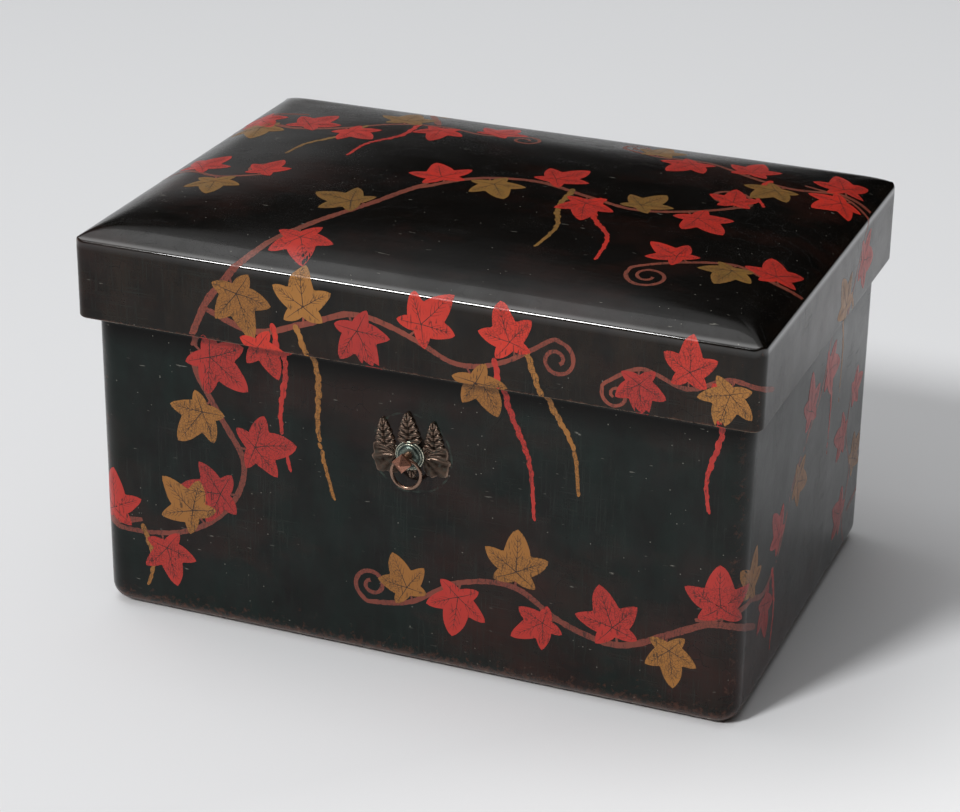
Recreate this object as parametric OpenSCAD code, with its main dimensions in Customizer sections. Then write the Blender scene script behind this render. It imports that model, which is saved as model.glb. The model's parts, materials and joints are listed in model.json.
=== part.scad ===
// Slip-lid document box in lacquered wood: finger-jointed boards under a continuous lacquer skin,
// a deep crowned lid that slips down over the body, and a cord ring on a leaf plate front and back.
// The origin is on the ground under the middle of the box, X along the front, Y to the back, Z up.

/* [Box] */
// Length of the lid over its lacquer
lid_l = 450; // [360:1:560]
// Depth of the lid over its lacquer, front to back
lid_d = 312; // [240:1:400]
// Height of the body's rim, where the lid rests
body_h = 249; // [200:1:320]
// Height of the lid's upright skirt, from its lower edge to the ridge
skirt_h = 52; // [35:1:75]
// Running clearance between the lid's lining and the body, each side
lid_gap = 1; // [0.6:0.1:2.5]

/* [Boards] */
// Thickness of the body's wall boards
wall_t = 9; // [7:0.5:12]
// Thickness of the base board at its raised panel
base_t = 12; // [9:0.5:16]
// Height of the raised panel that registers between the walls
panel_h = 4; // [2:0.5:5]
// Thickness of the lid's rails
rail_t = 5; // [4:0.5:7]
// Height of the lid's edge above the rim, up to the ridge
lid_edge_h = 8; // [7:0.5:12]
// Depth to which the top board's plug drops between the rails
plug_h = 3; // [2:0.5:4]
// Fingers in each corner joint of the body, an odd number
body_fingers = 7; // [5:2:9]
// Fingers in each corner joint of the lid, an odd number
lid_fingers = 3; // [3:2:5]

/* [Rounding] */
// Radius of the body's upright edges
corner_r = 16; // [15:0.5:20]
// Radius of the body's bottom edge
edge_r = 13; // [10:0.5:15]
// Radius of the lid's upright edges
lid_corner_r = 8; // [5:0.5:10]
// Radius of the corners inside the body
inner_r = 3; // [2:0.5:5]
// Radius of the corners inside the lid
lid_inner_r = 4; // [2.5:0.5:6]

/* [Crown] */
// Rise of the lid's top above the ridge
crown_rise = 23; // [18:0.5:30]
// Radius of the shoulder inside the ridge
shoulder_r = 58; // [45:1:65]
// Slope of the shoulder where it starts at the ridge, in degrees
shoulder_angle = 37; // [32:1:40]
// Rise of the cove under the top board
cove_rise = 12; // [6:0.5:14]
// Flat margin between the lid's inner faces and the cove
cove_margin = 14; // [10:1:30]

/* [Lacquer] */
// Thickness of the cloth ground and lacquer outside the body
skin_t = 1.2; // [0.8:0.1:2]
// Thickness of the cloth ground and lacquer outside the lid
lid_skin_t = 1; // [0.8:0.1:1.5]
// Thickness of the lacquer inside
lining_t = 0.5; // [0.4:0.1:1]

/* [Pegs] */
// Radius of the body's pegs
peg_r = 1.5; // [1:0.1:2]
// Radius of the lid's pegs
lid_peg_r = 0.9; // [0.7:0.1:1.2]
// Depth of a peg in the board behind the joint
peg_in = 13; // [8:1:16]

/* [Cord fitting] */
// Distance of the ring's pivot below the lid's lower edge
eye_drop = 57; // [42:1:80]
// Distance of both fittings to the right of the middle
fitting_x = 2.5; // [0:0.5:6]
// Distance of the ring's pivot in front of the wall
eye_out = 7.3; // [7.1:0.1:7.6]
// Radius of the ring to the middle of its wire
ring_r = 9.35; // [9:0.05:11]
// Radius of the ring's wire
wire_r = 1.15; // [0.9:0.05:1.25]
// Radius of the hole that the ring hangs in
eye_r = 1.8; // [1.7:0.05:1.9]
// Thickness of the leaf plate
plate_t = 1.2; // [0.8:0.1:1.3]
// Width of the leaf plate
plate_w = 54; // [44:1:66]
// Height of the leaf plate's tip above the ring's pivot
plate_top = 31; // [26:1:38]
// Height of the leaf plate's ribs
rib_h = 0.5; // [0.3:0.1:0.8]
// Width of the leaf plate's ribs
rib_w = 1.6; // [1:0.1:2.4]
// Radius of the round boss
boss_r = 9.5; // [8.5:0.1:11]
// Height of the round boss
boss_h = 3; // [2.4:0.1:3]
// Half the side of the stud's faceted head
head_half = 4.6; // [4:0.1:4.8]
// Side of the stud's square shank
shank = 3; // [2:0.1:3.2]
// Radius of the washer inside the wall
washer_r = 7; // [5:0.5:9]
// Thickness of the washer
washer_t = 0.8; // [0.5:0.1:1.2]
// Length of each bent leg from the middle of the shank
leg_l = 13; // [10:0.5:16]
// Thickness of each bent leg
leg_t = 1.4; // [1:0.1:1.6]

/* [Hidden] */
$fn = 96;

// Running gaps, the reach of cuts past a face, and the lap by which joined shapes run into each other
peg_gap = 0.02;
shank_gap = 0.13;
cut = 1;
root = 0.5;
far = 1200;

// Straight steps in half the crown's outline
shoulder_steps = 10;
dome_steps = 12;

// Upright pegs along each long and each short board, and how deep the lid's pegs reach
long_pegs = 4;
short_pegs = 2;
lid_peg_in = peg_in / 2;

// The lid's wall with its coats, and the body that fits inside it
lid_wall = lid_skin_t + rail_t + lining_t;
body_l = lid_l - 2 * (lid_wall + lid_gap);
body_d = lid_d - 2 * (lid_wall + lid_gap);
wood_l = body_l - 2 * skin_t;
wood_d = body_d - 2 * skin_t;
inner_l = wood_l - 2 * wall_t - 2 * lining_t;
inner_d = wood_d - 2 * wall_t - 2 * lining_t;
wall_depth = skin_t + wall_t + lining_t;

// Heights in the body
base_top = skin_t + base_t;
seat_z = base_top - panel_h;
wall_top = body_h - skin_t;

// Heights in the lid
ridge_z = body_h + lid_edge_h;
skirt_z = ridge_z - skirt_h;
eye_z = skirt_z - eye_drop;
board_z = body_h + lining_t;
rail_top = board_z + plug_h;
rail_z = skirt_z + lid_skin_t;
rail_l = lid_l - 2 * lid_skin_t;
rail_d = lid_d - 2 * lid_skin_t;
cavity_l = lid_l - 2 * lid_wall;
cavity_d = lid_d - 2 * lid_wall;

// Stud: its round neck with flat cheeks, and the metal between the eye and the head
neck_r = 3.4;
neck_w = 5;
eye_wall = 1.4;
bore_r = shank / sqrt(2) + shank_gap;
leg_y = wall_depth + washer_t;

// Heights along the stud, outwards from the wall's face: the head widens, runs straight and comes to its tip
neck_z = plate_t + boss_h;
head_z = eye_out + eye_r + eye_wall;
head_wide_z = head_z + 2.6;
head_front_z = head_wide_z + 1.4;
head_tip_z = head_front_z + 4.2;
head_back_half = 0.68 * head_half;
head_tip_half = 0.5;

// Leaf plate: its round middle, three plumes above, broad leaves at the sides and a small leaf below
plate_rim = 1.5;
plume_root = 0.16 * plate_top;
plume_spread = 0.15 * plate_w;
plume_tilt = 20;
mid_plume_l = plate_top - plume_root;
mid_plume_w = 0.24 * plate_w;
side_plume_l = 0.66 * plate_top;
side_plume_w = 0.18 * plate_w;
plume_teeth = 4;
tooth_tilt = 34;
side_leaves = 4;
leaf_start = 84;
leaf_pitch = 23;
leaf_l = 0.5 * plate_w;
leaf_w = 0.25 * plate_w;
leaf_step = 0.05 * plate_w;
low_leaf_l = 0.32 * plate_w;
low_leaf_w = 0.24 * plate_w;
rib_short = 1.5;

// Boss: a broad foot, a step, a domed top and a flat seat for the neck
foot_h = 0.3 * boss_h;
step_h = 0.57 * boss_h;
step_r = 0.86 * boss_r;
dome_edge_r = 0.74 * boss_r;
boss_dome_r = 1.25 * boss_r;
seat_r = neck_r + 0.6;

// Angle at which the shoulder of a crown of half width w runs into its dome
function dome_angle(w) =
    2 * atan((crown_rise - shoulder_r * (1 - cos(shoulder_angle))) / (w - shoulder_r * sin(shoulder_angle)));

// Radius of the dome, so that it meets the shoulder on one tangent
function dome_r(w) =
    (w - shoulder_r * (sin(shoulder_angle) - sin(dome_angle(w)))) / sin(dome_angle(w));

// Radius of a cove of half width w that rises by h
function cove_r(w, h) = (w * w + h * h) / (2 * h);

// Rectangle with rounded corners
module rounded_rect(l, d, r) {
    square([l - 2 * r, d], center = true);
    square([l, d - 2 * r], center = true);
    for (x = [-1, 1], y = [-1, 1])
        translate([x * (l / 2 - r), y * (d / 2 - r)])
            circle(r);
}

// Upright block with rounded upright edges
module block(l, d, r, z0, z1) {
    translate([0, 0, z0])
        linear_extrude(z1 - z0)
            rounded_rect(l, d, r);
}

// Upright section of the body of width w, with its bottom corners rounded
module tub_section(w, h, r) {
    translate([-w / 2, r])
        square([w, h - r]);
    translate([r - w / 2, 0])
        square([w - 2 * r, h]);
    for (x = [-1, 1])
        translate([x * (w / 2 - r), r])
            circle(r);
}

// Section of one upright corner of the body, right of its axis
module tub_corner(rv, h, r) {
    translate([0, r])
        square([rv, h - r]);
    square([rv - r, h]);
    intersection() {
        translate([rv - r, r])
            circle(r);
        square([rv, h]);
    }
}

// The body as a solid, shrunk by inset all round and cut at height top
module tub(inset, top) {
    l = body_l - 2 * inset;
    d = body_d - 2 * inset;
    rv = corner_r - inset;
    r = edge_r - inset;
    h = top - inset;
    translate([0, 0, inset]) {
        rotate([90, 0, 90])
            linear_extrude(l - 2 * rv, center = true)
                tub_section(d, h, r);
        rotate([90, 0, 0])
            linear_extrude(d - 2 * rv, center = true)
                tub_section(l, h, r);
        for (x = [-1, 1], y = [-1, 1])
            translate([x * (l / 2 - rv), y * (d / 2 - rv), 0])
                rotate_extrude()
                    tub_corner(rv, h, r);
    }
}

// Points of an arc about [x, z], from angle a0 to a1 off the vertical
function arc(x, z, r, a0, a1, steps) =
    [for (i = [0 : steps]) [x + r * sin(a0 + (a1 - a0) * i / steps), z + r * cos(a0 + (a1 - a0) * i / steps)]];

// Outline of the right half of a crown of half width w, shrunk by inset, from the ridge to the top
function half_crown(w, inset) =
    let (
        join = dome_angle(w),
        x = w - shoulder_r * sin(shoulder_angle),
        z = ridge_z - shoulder_r * cos(shoulder_angle),
        start = asin((w - inset - x) / (shoulder_r - inset)),
        shoulder = arc(x, z, shoulder_r - inset, start, join, shoulder_steps),
        dome = arc(0, ridge_z + crown_rise - dome_r(w), dome_r(w) - inset, join, 0, dome_steps)
    )
    concat(shoulder, [for (i = [1 : dome_steps]) dome[i]]);

// Upright section through the crown: skirt, shoulders and dome
module crown_section(w, z0, inset) {
    right = half_crown(w, inset);
    left = [for (i = [len(right) - 2 : -1 : 0]) [-right[i].x, right[i].y]];
    polygon(concat([[w - inset, z0]], right, left, [[inset - w, z0]]));
}

// The lid as a solid from height z0 up, shrunk by inset all round
module lid_solid(inset, z0) {
    intersection() {
        block(lid_l - 2 * inset, lid_d - 2 * inset, lid_corner_r - inset, z0, ridge_z + 2 * crown_rise);
        rotate([90, 0, 90])
            linear_extrude(2 * lid_l, center = true)
                crown_section(lid_d / 2, z0, inset);
        rotate([90, 0, 0])
            linear_extrude(2 * lid_d, center = true)
                crown_section(lid_l / 2, z0, inset);
    }
}

// Cove under the top board, from height z up
module cove(z) {
    w_x = cavity_l / 2 - cove_margin;
    w_y = cavity_d / 2 - cove_margin;
    intersection() {
        translate([0, 0, z + cove_rise - cove_r(w_x, cove_rise)])
            rotate([90, 0, 0])
                cylinder(r = cove_r(w_x, cove_rise), h = far, center = true, $fn = 360);
        translate([0, 0, z + cove_rise - cove_r(w_y, cove_rise)])
            rotate([0, 90, 0])
                cylinder(r = cove_r(w_y, cove_rise), h = far, center = true, $fn = 360);
        translate([-far / 2, -far / 2, z])
            cube([far, far, far]);
    }
}

// One board of a four-sided frame with finger-jointed corners, l by d over all
module frame_board(side, l, d, t, z0, z1, fingers) {
    finger_h = (z1 - z0) / fingers;
    long = side == "front" || side == "back";
    sign = side == "front" || side == "left" ? -1 : 1;
    if (long)
        difference() {
            translate([-l / 2, sign < 0 ? -d / 2 : d / 2 - t, z0])
                cube([l, t, z1 - z0]);
            frame_fingers(sign, 0, l, d, t, z0, finger_h, fingers);
        }
    else
        union() {
            translate([sign < 0 ? -l / 2 : l / 2 - t, t - d / 2, z0])
                cube([t, d - 2 * t, z1 - z0]);
            frame_fingers(0, sign, l, d, t, z0, finger_h, fingers);
        }
}

// Corner blocks of the side boards' fingers, at the ends of one side
module frame_fingers(y_side, x_side, l, d, t, z0, finger_h, fingers) {
    xs = x_side == 0 ? [-1, 1] : [x_side];
    ys = y_side == 0 ? [-1, 1] : [y_side];
    for (x = xs, y = ys, i = [1 : 2 : fingers - 2])
        translate([x < 0 ? -l / 2 : l / 2 - t, y < 0 ? -d / 2 : d / 2 - t, z0 + i * finger_h])
            cube([t, t, finger_h]);
}

// Pegs through the long boards' fingers into the ends of the side boards
module frame_pegs(l, d, t, z0, z1, fingers, r, depth) {
    finger_h = (z1 - z0) / fingers;
    for (x = [-1, 1], y = [-1, 1], i = [0 : 2 : fingers - 1])
        translate([x * (l / 2 - t / 2), y * d / 2, z0 + (i + 0.5) * finger_h])
            rotate([y * 90, 0, 0])
                cylinder(r = r, h = t + depth);
}

// Upright pegs on the middle line of a frame's boards, between heights z0 and z1
module edge_pegs(l, d, t, z0, z1, r) {
    for (y = [-1, 1], i = [1 : long_pegs])
        translate([(i / (long_pegs + 1) - 0.5) * l, y * (d / 2 - t / 2), z0])
            cylinder(r = r, h = z1 - z0);
    for (x = [-1, 1], i = [1 : short_pegs])
        translate([x * (l / 2 - t / 2), (i / (short_pegs + 1) - 0.5) * d, z0])
            cylinder(r = r, h = z1 - z0);
}

module body_corner_pegs(r) {
    frame_pegs(wood_l, wood_d, wall_t, seat_z, wall_top, body_fingers, r, peg_in);
}

module body_base_pegs(r) {
    edge_pegs(wood_l, wood_d, wall_t, 0, seat_z + peg_in, r);
}

module lid_side_pegs(r) {
    frame_pegs(rail_l, rail_d, rail_t, rail_z, rail_top, lid_fingers, r, lid_peg_in);
}

module lid_edge_pegs(r) {
    edge_pegs(rail_l, rail_d, rail_t, rail_top - lid_peg_in, ridge_z + crown_rise, r);
}

// Puts its children on the wall's face at the front or the rear, with -Y pointing away from the box
module at_fitting(rear) {
    translate([fitting_x, rear ? body_d / 2 : -body_d / 2, eye_z])
        rotate([0, 0, rear ? 180 : 0])
            children();
}

// Drilled holes for both shanks
module shank_holes() {
    for (rear = [false, true])
        at_fitting(rear)
            rotate([90, 0, 0])
                cylinder(r = bore_r, h = 4 * wall_depth, center = true);
}

// Length of a side leaf, counted from the top one
function side_leaf_l(i) = leaf_l - leaf_step * max(i - 1, 0);

// Lens between two arcs, pointed at (0, 0) and (0, l)
module lens(l, w) {
    radius = (l * l + w * w) / (4 * w);
    intersection_for (side = [-1, 1])
        translate([side * (radius - w / 2), l / 2])
            circle(radius, $fn = 64);
}

// Upright toothed plume with its root at the origin, the teeth shorter towards its tip
module plume(l, w) {
    first = 0.08 * l;
    pitch = 0.19 * l;
    tooth_l = 0.42 * l;
    tooth_step = 0.06 * l;
    tooth_w = 0.36 * w;
    lens(l, w);
    for (side = [-1, 1], i = [0 : plume_teeth - 1])
        translate([0, first + pitch * i])
            rotate(side * tooth_tilt)
                lens(tooth_l - tooth_step * i, tooth_w);
}

// Puts its first child at the root of the middle plume and its second at those of the side plumes
module at_plumes() {
    translate([0, plume_root])
        children(0);
    for (side = [-1, 1])
        translate([side * plume_spread, plume_root])
            rotate(-side * plume_tilt)
                children(1);
}

// A lens for each side leaf, shorter than the leaf by a margin, at the width given
module side_leaf_lenses(margin, w) {
    for (side = [-1, 1], i = [0 : side_leaves - 1])
        rotate(-side * (leaf_start + leaf_pitch * i))
            lens(side_leaf_l(i) - margin, w);
}

module plate_outline() {
    circle(boss_r + plate_rim);
    at_plumes() {
        plume(mid_plume_l, mid_plume_w);
        plume(side_plume_l, side_plume_w);
    }
    side_leaf_lenses(0, leaf_w);
    rotate(180)
        lens(low_leaf_l, low_leaf_w);
}

module plate_ribs() {
    at_plumes() {
        lens(mid_plume_l - rib_short, rib_w);
        lens(side_plume_l - rib_short, rib_w);
    }
    side_leaf_lenses(rib_short, rib_w);
}

// Leaf plate with raised ribs, pierced for the shank and flat under the boss
module escutcheon() {
    difference() {
        rotate([90, 0, 0]) {
            linear_extrude(plate_t)
                plate_outline();
            linear_extrude(plate_t + rib_h)
                plate_ribs();
        }
        rotate([90, 0, 0])
            cylinder(r = bore_r, h = 4 * (plate_t + rib_h), center = true);
        translate([0, -plate_t, 0])
            rotate([90, 0, 0])
                cylinder(r = boss_r, h = 2 * rib_h);
    }
}

// Stepped round seat between plate and stud
module boss() {
    translate([0, -plate_t, 0])
        rotate([90, 0, 0])
            difference() {
                rotate_extrude() {
                    square([boss_r, foot_h]);
                    square([step_r, step_h]);
                    square([seat_r, boss_h]);
                    intersection() {
                        translate([0, boss_h - boss_dome_r])
                            circle(boss_dome_r);
                        square([dome_edge_r, boss_h]);
                    }
                }
                translate([0, 0, -cut])
                    cylinder(r = bore_r, h = boss_h + 2 * cut);
            }
}

// Side view of the faceted head, extruded
module head_prism() {
    mirror([0, 1, 0])
        linear_extrude(4 * head_half, center = true)
            polygon([
                [-head_back_half, head_z], [-head_half, head_wide_z], [-head_half, head_front_z],
                [-head_tip_half, head_tip_z], [head_tip_half, head_tip_z],
                [head_half, head_front_z], [head_half, head_wide_z], [head_back_half, head_z]
            ]);
}

// Stud in one piece: faceted head, flattened neck with the ring's eye, shank and two bent legs
module ring_stud() {
    intersection_for (turn = [-45, 45])
        rotate([0, turn, 0])
            head_prism();
    difference() {
        intersection() {
            rotate([90, 0, 0])
                translate([0, 0, neck_z])
                    cylinder(r = neck_r, h = head_z + root - neck_z);
            cube([neck_w, 4 * head_z, 4 * neck_r], center = true);
        }
        translate([0, -eye_out, 0])
            rotate([0, 90, 0])
                cylinder(r = eye_r, h = 4 * neck_w, center = true);
    }
    translate([-shank / 2, -neck_z - root, -shank / 2])
        cube([shank, neck_z + root + leg_y + leg_t, shank]);
    translate([-leg_l, leg_y, -shank / 2])
        cube([2 * leg_l, leg_t, shank]);
}

// Washer on the lining, under the bent legs
module washer() {
    translate([0, wall_depth, 0])
        rotate([-90, 0, 0])
            difference() {
                cylinder(r = washer_r, h = washer_t);
                translate([0, 0, -cut])
                    cylinder(r = bore_r, h = washer_t + 2 * cut);
            }
}

// Ring that hangs in the stud's eye
module ring() {
    translate([0, -eye_out, -ring_r])
        rotate([90, 0, 0])
            rotate_extrude()
                translate([ring_r, 0])
                    circle(wire_r, $fn = 48);
}

module base_board() {
    color("burlywood")
        difference() {
            union() {
                intersection() {
                    tub(skin_t, wall_top);
                    translate([-far / 2, -far / 2, 0])
                        cube([far, far, seat_z]);
                }
                translate([-wood_l / 2 + wall_t, -wood_d / 2 + wall_t, seat_z - root])
                    cube([wood_l - 2 * wall_t, wood_d - 2 * wall_t, panel_h + root]);
            }
            body_base_pegs(peg_r + peg_gap);
        }
}

// One wall board of the body, rounded outside with the tub
module wall_board(side) {
    color("burlywood")
        difference() {
            intersection() {
                tub(skin_t, wall_top);
                frame_board(side, wood_l, wood_d, wall_t, seat_z, wall_top, body_fingers);
            }
            body_corner_pegs(peg_r + peg_gap);
            body_base_pegs(peg_r + peg_gap);
            shank_holes();
        }
}

module front_wall() {
    wall_board("front");
}

module back_wall() {
    wall_board("back");
}

module left_wall() {
    wall_board("left");
}

module right_wall() {
    wall_board("right");
}

module corner_pegs() {
    color("tan")
        intersection() {
            tub(skin_t, wall_top);
            body_corner_pegs(peg_r);
        }
}

module base_pegs() {
    color("tan")
        intersection() {
            tub(skin_t, wall_top);
            body_base_pegs(peg_r);
        }
}

// Plan of the flat underside, inside the rounded bottom edge
module underside(z1) {
    block(body_l - 2 * edge_r, body_d - 2 * edge_r, corner_r - edge_r, -cut, z1);
}

module body_lacquer_skin() {
    color("#16120f")
        difference() {
            tub(0, body_h);
            tub(skin_t, wall_top);
            block(inner_l, inner_d, inner_r, wall_top - cut, body_h + cut);
            underside(base_top);
            shank_holes();
        }
}

module base_lacquer_skin() {
    color("#1c1411")
        intersection() {
            tub(0, body_h);
            underside(skin_t);
        }
}

module body_lining() {
    color("#120e0c")
        difference() {
            translate([-wood_l / 2 + wall_t, -wood_d / 2 + wall_t, base_top])
                cube([wood_l - 2 * wall_t, wood_d - 2 * wall_t, wall_top - base_top]);
            block(inner_l, inner_d, inner_r, base_top + lining_t, body_h);
            shank_holes();
        }
}

module front_escutcheon() {
    color("#4a3a33")
        at_fitting(false)
            escutcheon();
}

module rear_escutcheon() {
    color("#4a3a33")
        at_fitting(true)
            escutcheon();
}

module front_boss() {
    color("#4c514b")
        at_fitting(false)
            boss();
}

module rear_boss() {
    color("#4c514b")
        at_fitting(true)
            boss();
}

module front_ring_stud() {
    color("#9a5a42")
        at_fitting(false)
            ring_stud();
}

module rear_ring_stud() {
    color("#9a5a42")
        at_fitting(true)
            ring_stud();
}

module front_washer() {
    color("#6b5140")
        at_fitting(false)
            washer();
}

module rear_washer() {
    color("#6b5140")
        at_fitting(true)
            washer();
}

module front_ring() {
    color("#5a4a42")
        at_fitting(false)
            ring();
}

module rear_ring() {
    color("#5a4a42")
        at_fitting(true)
            ring();
}

// Space inside the lid's frame of rails, from height z0 up to z1
module rail_opening(z0, z1) {
    translate([-rail_l / 2 + rail_t, -rail_d / 2 + rail_t, z0])
        cube([rail_l - 2 * rail_t, rail_d - 2 * rail_t, z1 - z0]);
}

module lid_top_board() {
    color("burlywood")
        difference() {
            union() {
                lid_solid(lid_skin_t, rail_top);
                rail_opening(board_z, rail_top);
            }
            cove(board_z);
            lid_edge_pegs(lid_peg_r + peg_gap);
        }
}

// One rail of the lid, rounded outside with the lid
module rail(side) {
    color("burlywood")
        difference() {
            intersection() {
                block(rail_l, rail_d, lid_corner_r - lid_skin_t, rail_z, rail_top);
                frame_board(side, rail_l, rail_d, rail_t, rail_z, rail_top, lid_fingers);
            }
            lid_side_pegs(lid_peg_r + peg_gap);
            lid_edge_pegs(lid_peg_r + peg_gap);
        }
}

module lid_front_rail() {
    rail("front");
}

module lid_back_rail() {
    rail("back");
}

module lid_left_rail() {
    rail("left");
}

module lid_right_rail() {
    rail("right");
}

module lid_corner_pegs() {
    color("tan")
        intersection() {
            block(rail_l, rail_d, lid_corner_r - lid_skin_t, rail_z, rail_top);
            lid_side_pegs(lid_peg_r);
        }
}

module lid_top_pegs() {
    color("tan")
        intersection() {
            lid_solid(lid_skin_t, rail_z);
            lid_edge_pegs(lid_peg_r);
        }
}

module lid_lacquer_skin() {
    color("#16120f")
        difference() {
            lid_solid(0, skirt_z);
            lid_solid(lid_skin_t, rail_z);
            block(cavity_l, cavity_d, lid_inner_r, skirt_z - cut, rail_z + cut);
        }
}

module lid_lining() {
    color("#120e0c")
        difference() {
            union() {
                rail_opening(rail_z, board_z);
                cove(board_z);
            }
            block(cavity_l, cavity_d, lid_inner_r, rail_z - cut, body_h);
            cove(body_h);
        }
}

base_board();
front_wall();
back_wall();
left_wall();
right_wall();
corner_pegs();
base_pegs();
body_lacquer_skin();
base_lacquer_skin();
body_lining();
front_escutcheon();
front_boss();
front_ring_stud();
front_washer();
front_ring();
rear_escutcheon();
rear_boss();
rear_ring_stud();
rear_washer();
rear_ring();
lid_top_board();
lid_front_rail();
lid_back_rail();
lid_left_rail();
lid_right_rail();
lid_corner_pegs();
lid_top_pegs();
lid_lacquer_skin();
lid_lining();
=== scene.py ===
import json
import math

import bmesh
import bpy
import numpy as np
from mathutils import Matrix, Vector


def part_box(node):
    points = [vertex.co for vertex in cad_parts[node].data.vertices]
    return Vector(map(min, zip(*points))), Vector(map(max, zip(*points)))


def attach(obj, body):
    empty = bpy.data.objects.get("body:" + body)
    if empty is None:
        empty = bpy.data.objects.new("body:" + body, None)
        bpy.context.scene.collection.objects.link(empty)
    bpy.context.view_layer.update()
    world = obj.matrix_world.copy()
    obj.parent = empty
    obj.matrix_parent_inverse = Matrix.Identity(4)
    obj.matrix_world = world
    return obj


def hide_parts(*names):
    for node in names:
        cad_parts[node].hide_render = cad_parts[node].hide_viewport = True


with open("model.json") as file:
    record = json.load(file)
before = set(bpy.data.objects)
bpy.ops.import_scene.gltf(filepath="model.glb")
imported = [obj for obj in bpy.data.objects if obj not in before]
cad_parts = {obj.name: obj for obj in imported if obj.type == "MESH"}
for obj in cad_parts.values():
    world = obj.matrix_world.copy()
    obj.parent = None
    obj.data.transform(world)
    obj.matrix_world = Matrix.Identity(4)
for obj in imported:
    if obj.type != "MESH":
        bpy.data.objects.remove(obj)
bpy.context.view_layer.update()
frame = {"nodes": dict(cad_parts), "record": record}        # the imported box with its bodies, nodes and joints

mm = 0.001
lidLow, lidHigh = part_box("lid_lacquer_skin")
bodyLow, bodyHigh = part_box("body_lacquer_skin")
plateLow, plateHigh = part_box("front_escutcheon")
ringLow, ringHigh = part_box("front_ring")

# the viewing angle of the photograph, in metres and degrees
cameraView = dict(
    place=(0.5989, -1.5512, 0.8668),
    yaw=21.45, pitch=24.22, roll=0.78,
    lens=102.71, sensor=36.0,
)

# the sky is a soft dome: bright overhead, dark at middle height, pale again near the horizon; each pair is the sine
# of the height and the level there
studio = dict(
    # the floor's colour holds painted light and shade: lighter near the box's front, darker far behind it, and lighter
    # still at the front right, where it lifts the box's shadow
    floorNear=(0.762, 0.767, 0.779), floorFarPaintedShade=(0.585, 0.592, 0.605), floorRightPaintedLight=(0.97, 0.97, 0.975),
    floorSize=24.0,
    dome=((0.0, 0.0), (0.58, 0.01), (0.69, 0.54), (0.86, 1.0), (1.0, 1.3)),
    rightLevel=0.30,  # the right half of the sky is that much of the left
    horizonLevel=0.66,
    horizonStart=0.02, horizonBack=0.10, horizonLeft=0.36,  # how high the pale horizon reaches behind and at the left
    leftFrom=-0.37, leftTo=-0.45,
    key=dict(toward=(-0.36, -0.69, 0.63), angle=11.0, strength=2.3),
    panel=dict(place=(-1.05, 0.15, 2.8), aim=(0.0, 0.0, 0.2), size=(1.3, 1.5), power=13.0),
)


def makeCamera(v):
    yaw, pitch, roll = (math.radians(v[k]) for k in ("yaw", "pitch", "roll"))
    forward = Vector((-math.sin(yaw) * math.cos(pitch), math.cos(yaw) * math.cos(pitch), -math.sin(pitch)))
    right = Vector((math.cos(yaw), math.sin(yaw), 0.0))
    up = right.cross(forward)
    rolledRight = right * math.cos(roll) + up * math.sin(roll)
    rolledUp = up * math.cos(roll) - right * math.sin(roll)
    camera = bpy.data.objects.new("photoCamera", bpy.data.cameras.new("photoCamera"))
    camera.data.sensor_fit = "HORIZONTAL"
    camera.data.sensor_width = v["sensor"]
    camera.data.lens = v["lens"]
    camera.data.clip_end = 60.0
    turn = Matrix((rolledRight, rolledUp, -forward)).transposed()
    camera.matrix_world = Matrix.Translation(v["place"]) @ turn.to_4x4()
    bpy.context.scene.collection.objects.link(camera)
    bpy.context.scene.camera = camera


def makeSun(name, toward, angle, strength):
    sun = bpy.data.lights.new(name, "SUN")
    sun.angle = math.radians(angle)
    sun.energy = strength
    lamp = bpy.data.objects.new(name, sun)
    lamp.rotation_euler = Vector(toward).to_track_quat("Z", "Y").to_euler()
    bpy.context.scene.collection.objects.link(lamp)


def makePanel(name, place, aim, size, power):
    light = bpy.data.lights.new(name, "AREA")
    light.shape = "RECTANGLE"
    light.size, light.size_y = size
    light.energy = power
    lamp = bpy.data.objects.new(name, light)
    lamp.location = place
    lamp.rotation_euler = (Vector(aim) - Vector(place)).to_track_quat("-Z", "Y").to_euler()
    bpy.context.scene.collection.objects.link(lamp)


def addNode(tree, kind, inputs=None, **settings):
    node = tree.nodes.new(kind)
    for key, value in settings.items():
        setattr(node, key, value)
    for key, value in (inputs or {}).items():
        if isinstance(value, bpy.types.NodeSocket):
            tree.links.new(value, node.inputs[key])
        else:
            node.inputs[key].default_value = value
    return node


def mathNode(tree, operation, a, b=0.0, c=0.0, clamp=False):
    return addNode(tree, "ShaderNodeMath", {0: a, 1: b, 2: c}, operation=operation, use_clamp=clamp).outputs[0]


def mixColor(tree, factor, a, b, blend="MIX"):
    node = addNode(tree, "ShaderNodeMix", {0: factor, 6: a, 7: b}, data_type="RGBA", blend_type=blend)
    return node.outputs[2]


def remap(tree, value, low, high, outLow=0.0, outHigh=1.0):
    return addNode(tree, "ShaderNodeMapRange",
                   {0: value, 1: low, 2: high, 3: outLow, 4: outHigh}).outputs[0]


def noise(tree, vector, scale, detail=3.0, rough=0.55, stretch=None):
    if stretch:
        vector = addNode(tree, "ShaderNodeMapping", {"Vector": vector, "Scale": stretch}).outputs[0]
    return addNode(tree, "ShaderNodeTexNoise",
                   {"Vector": vector, "Scale": scale, "Detail": detail, "Roughness": rough}).outputs["Fac"]


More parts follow.
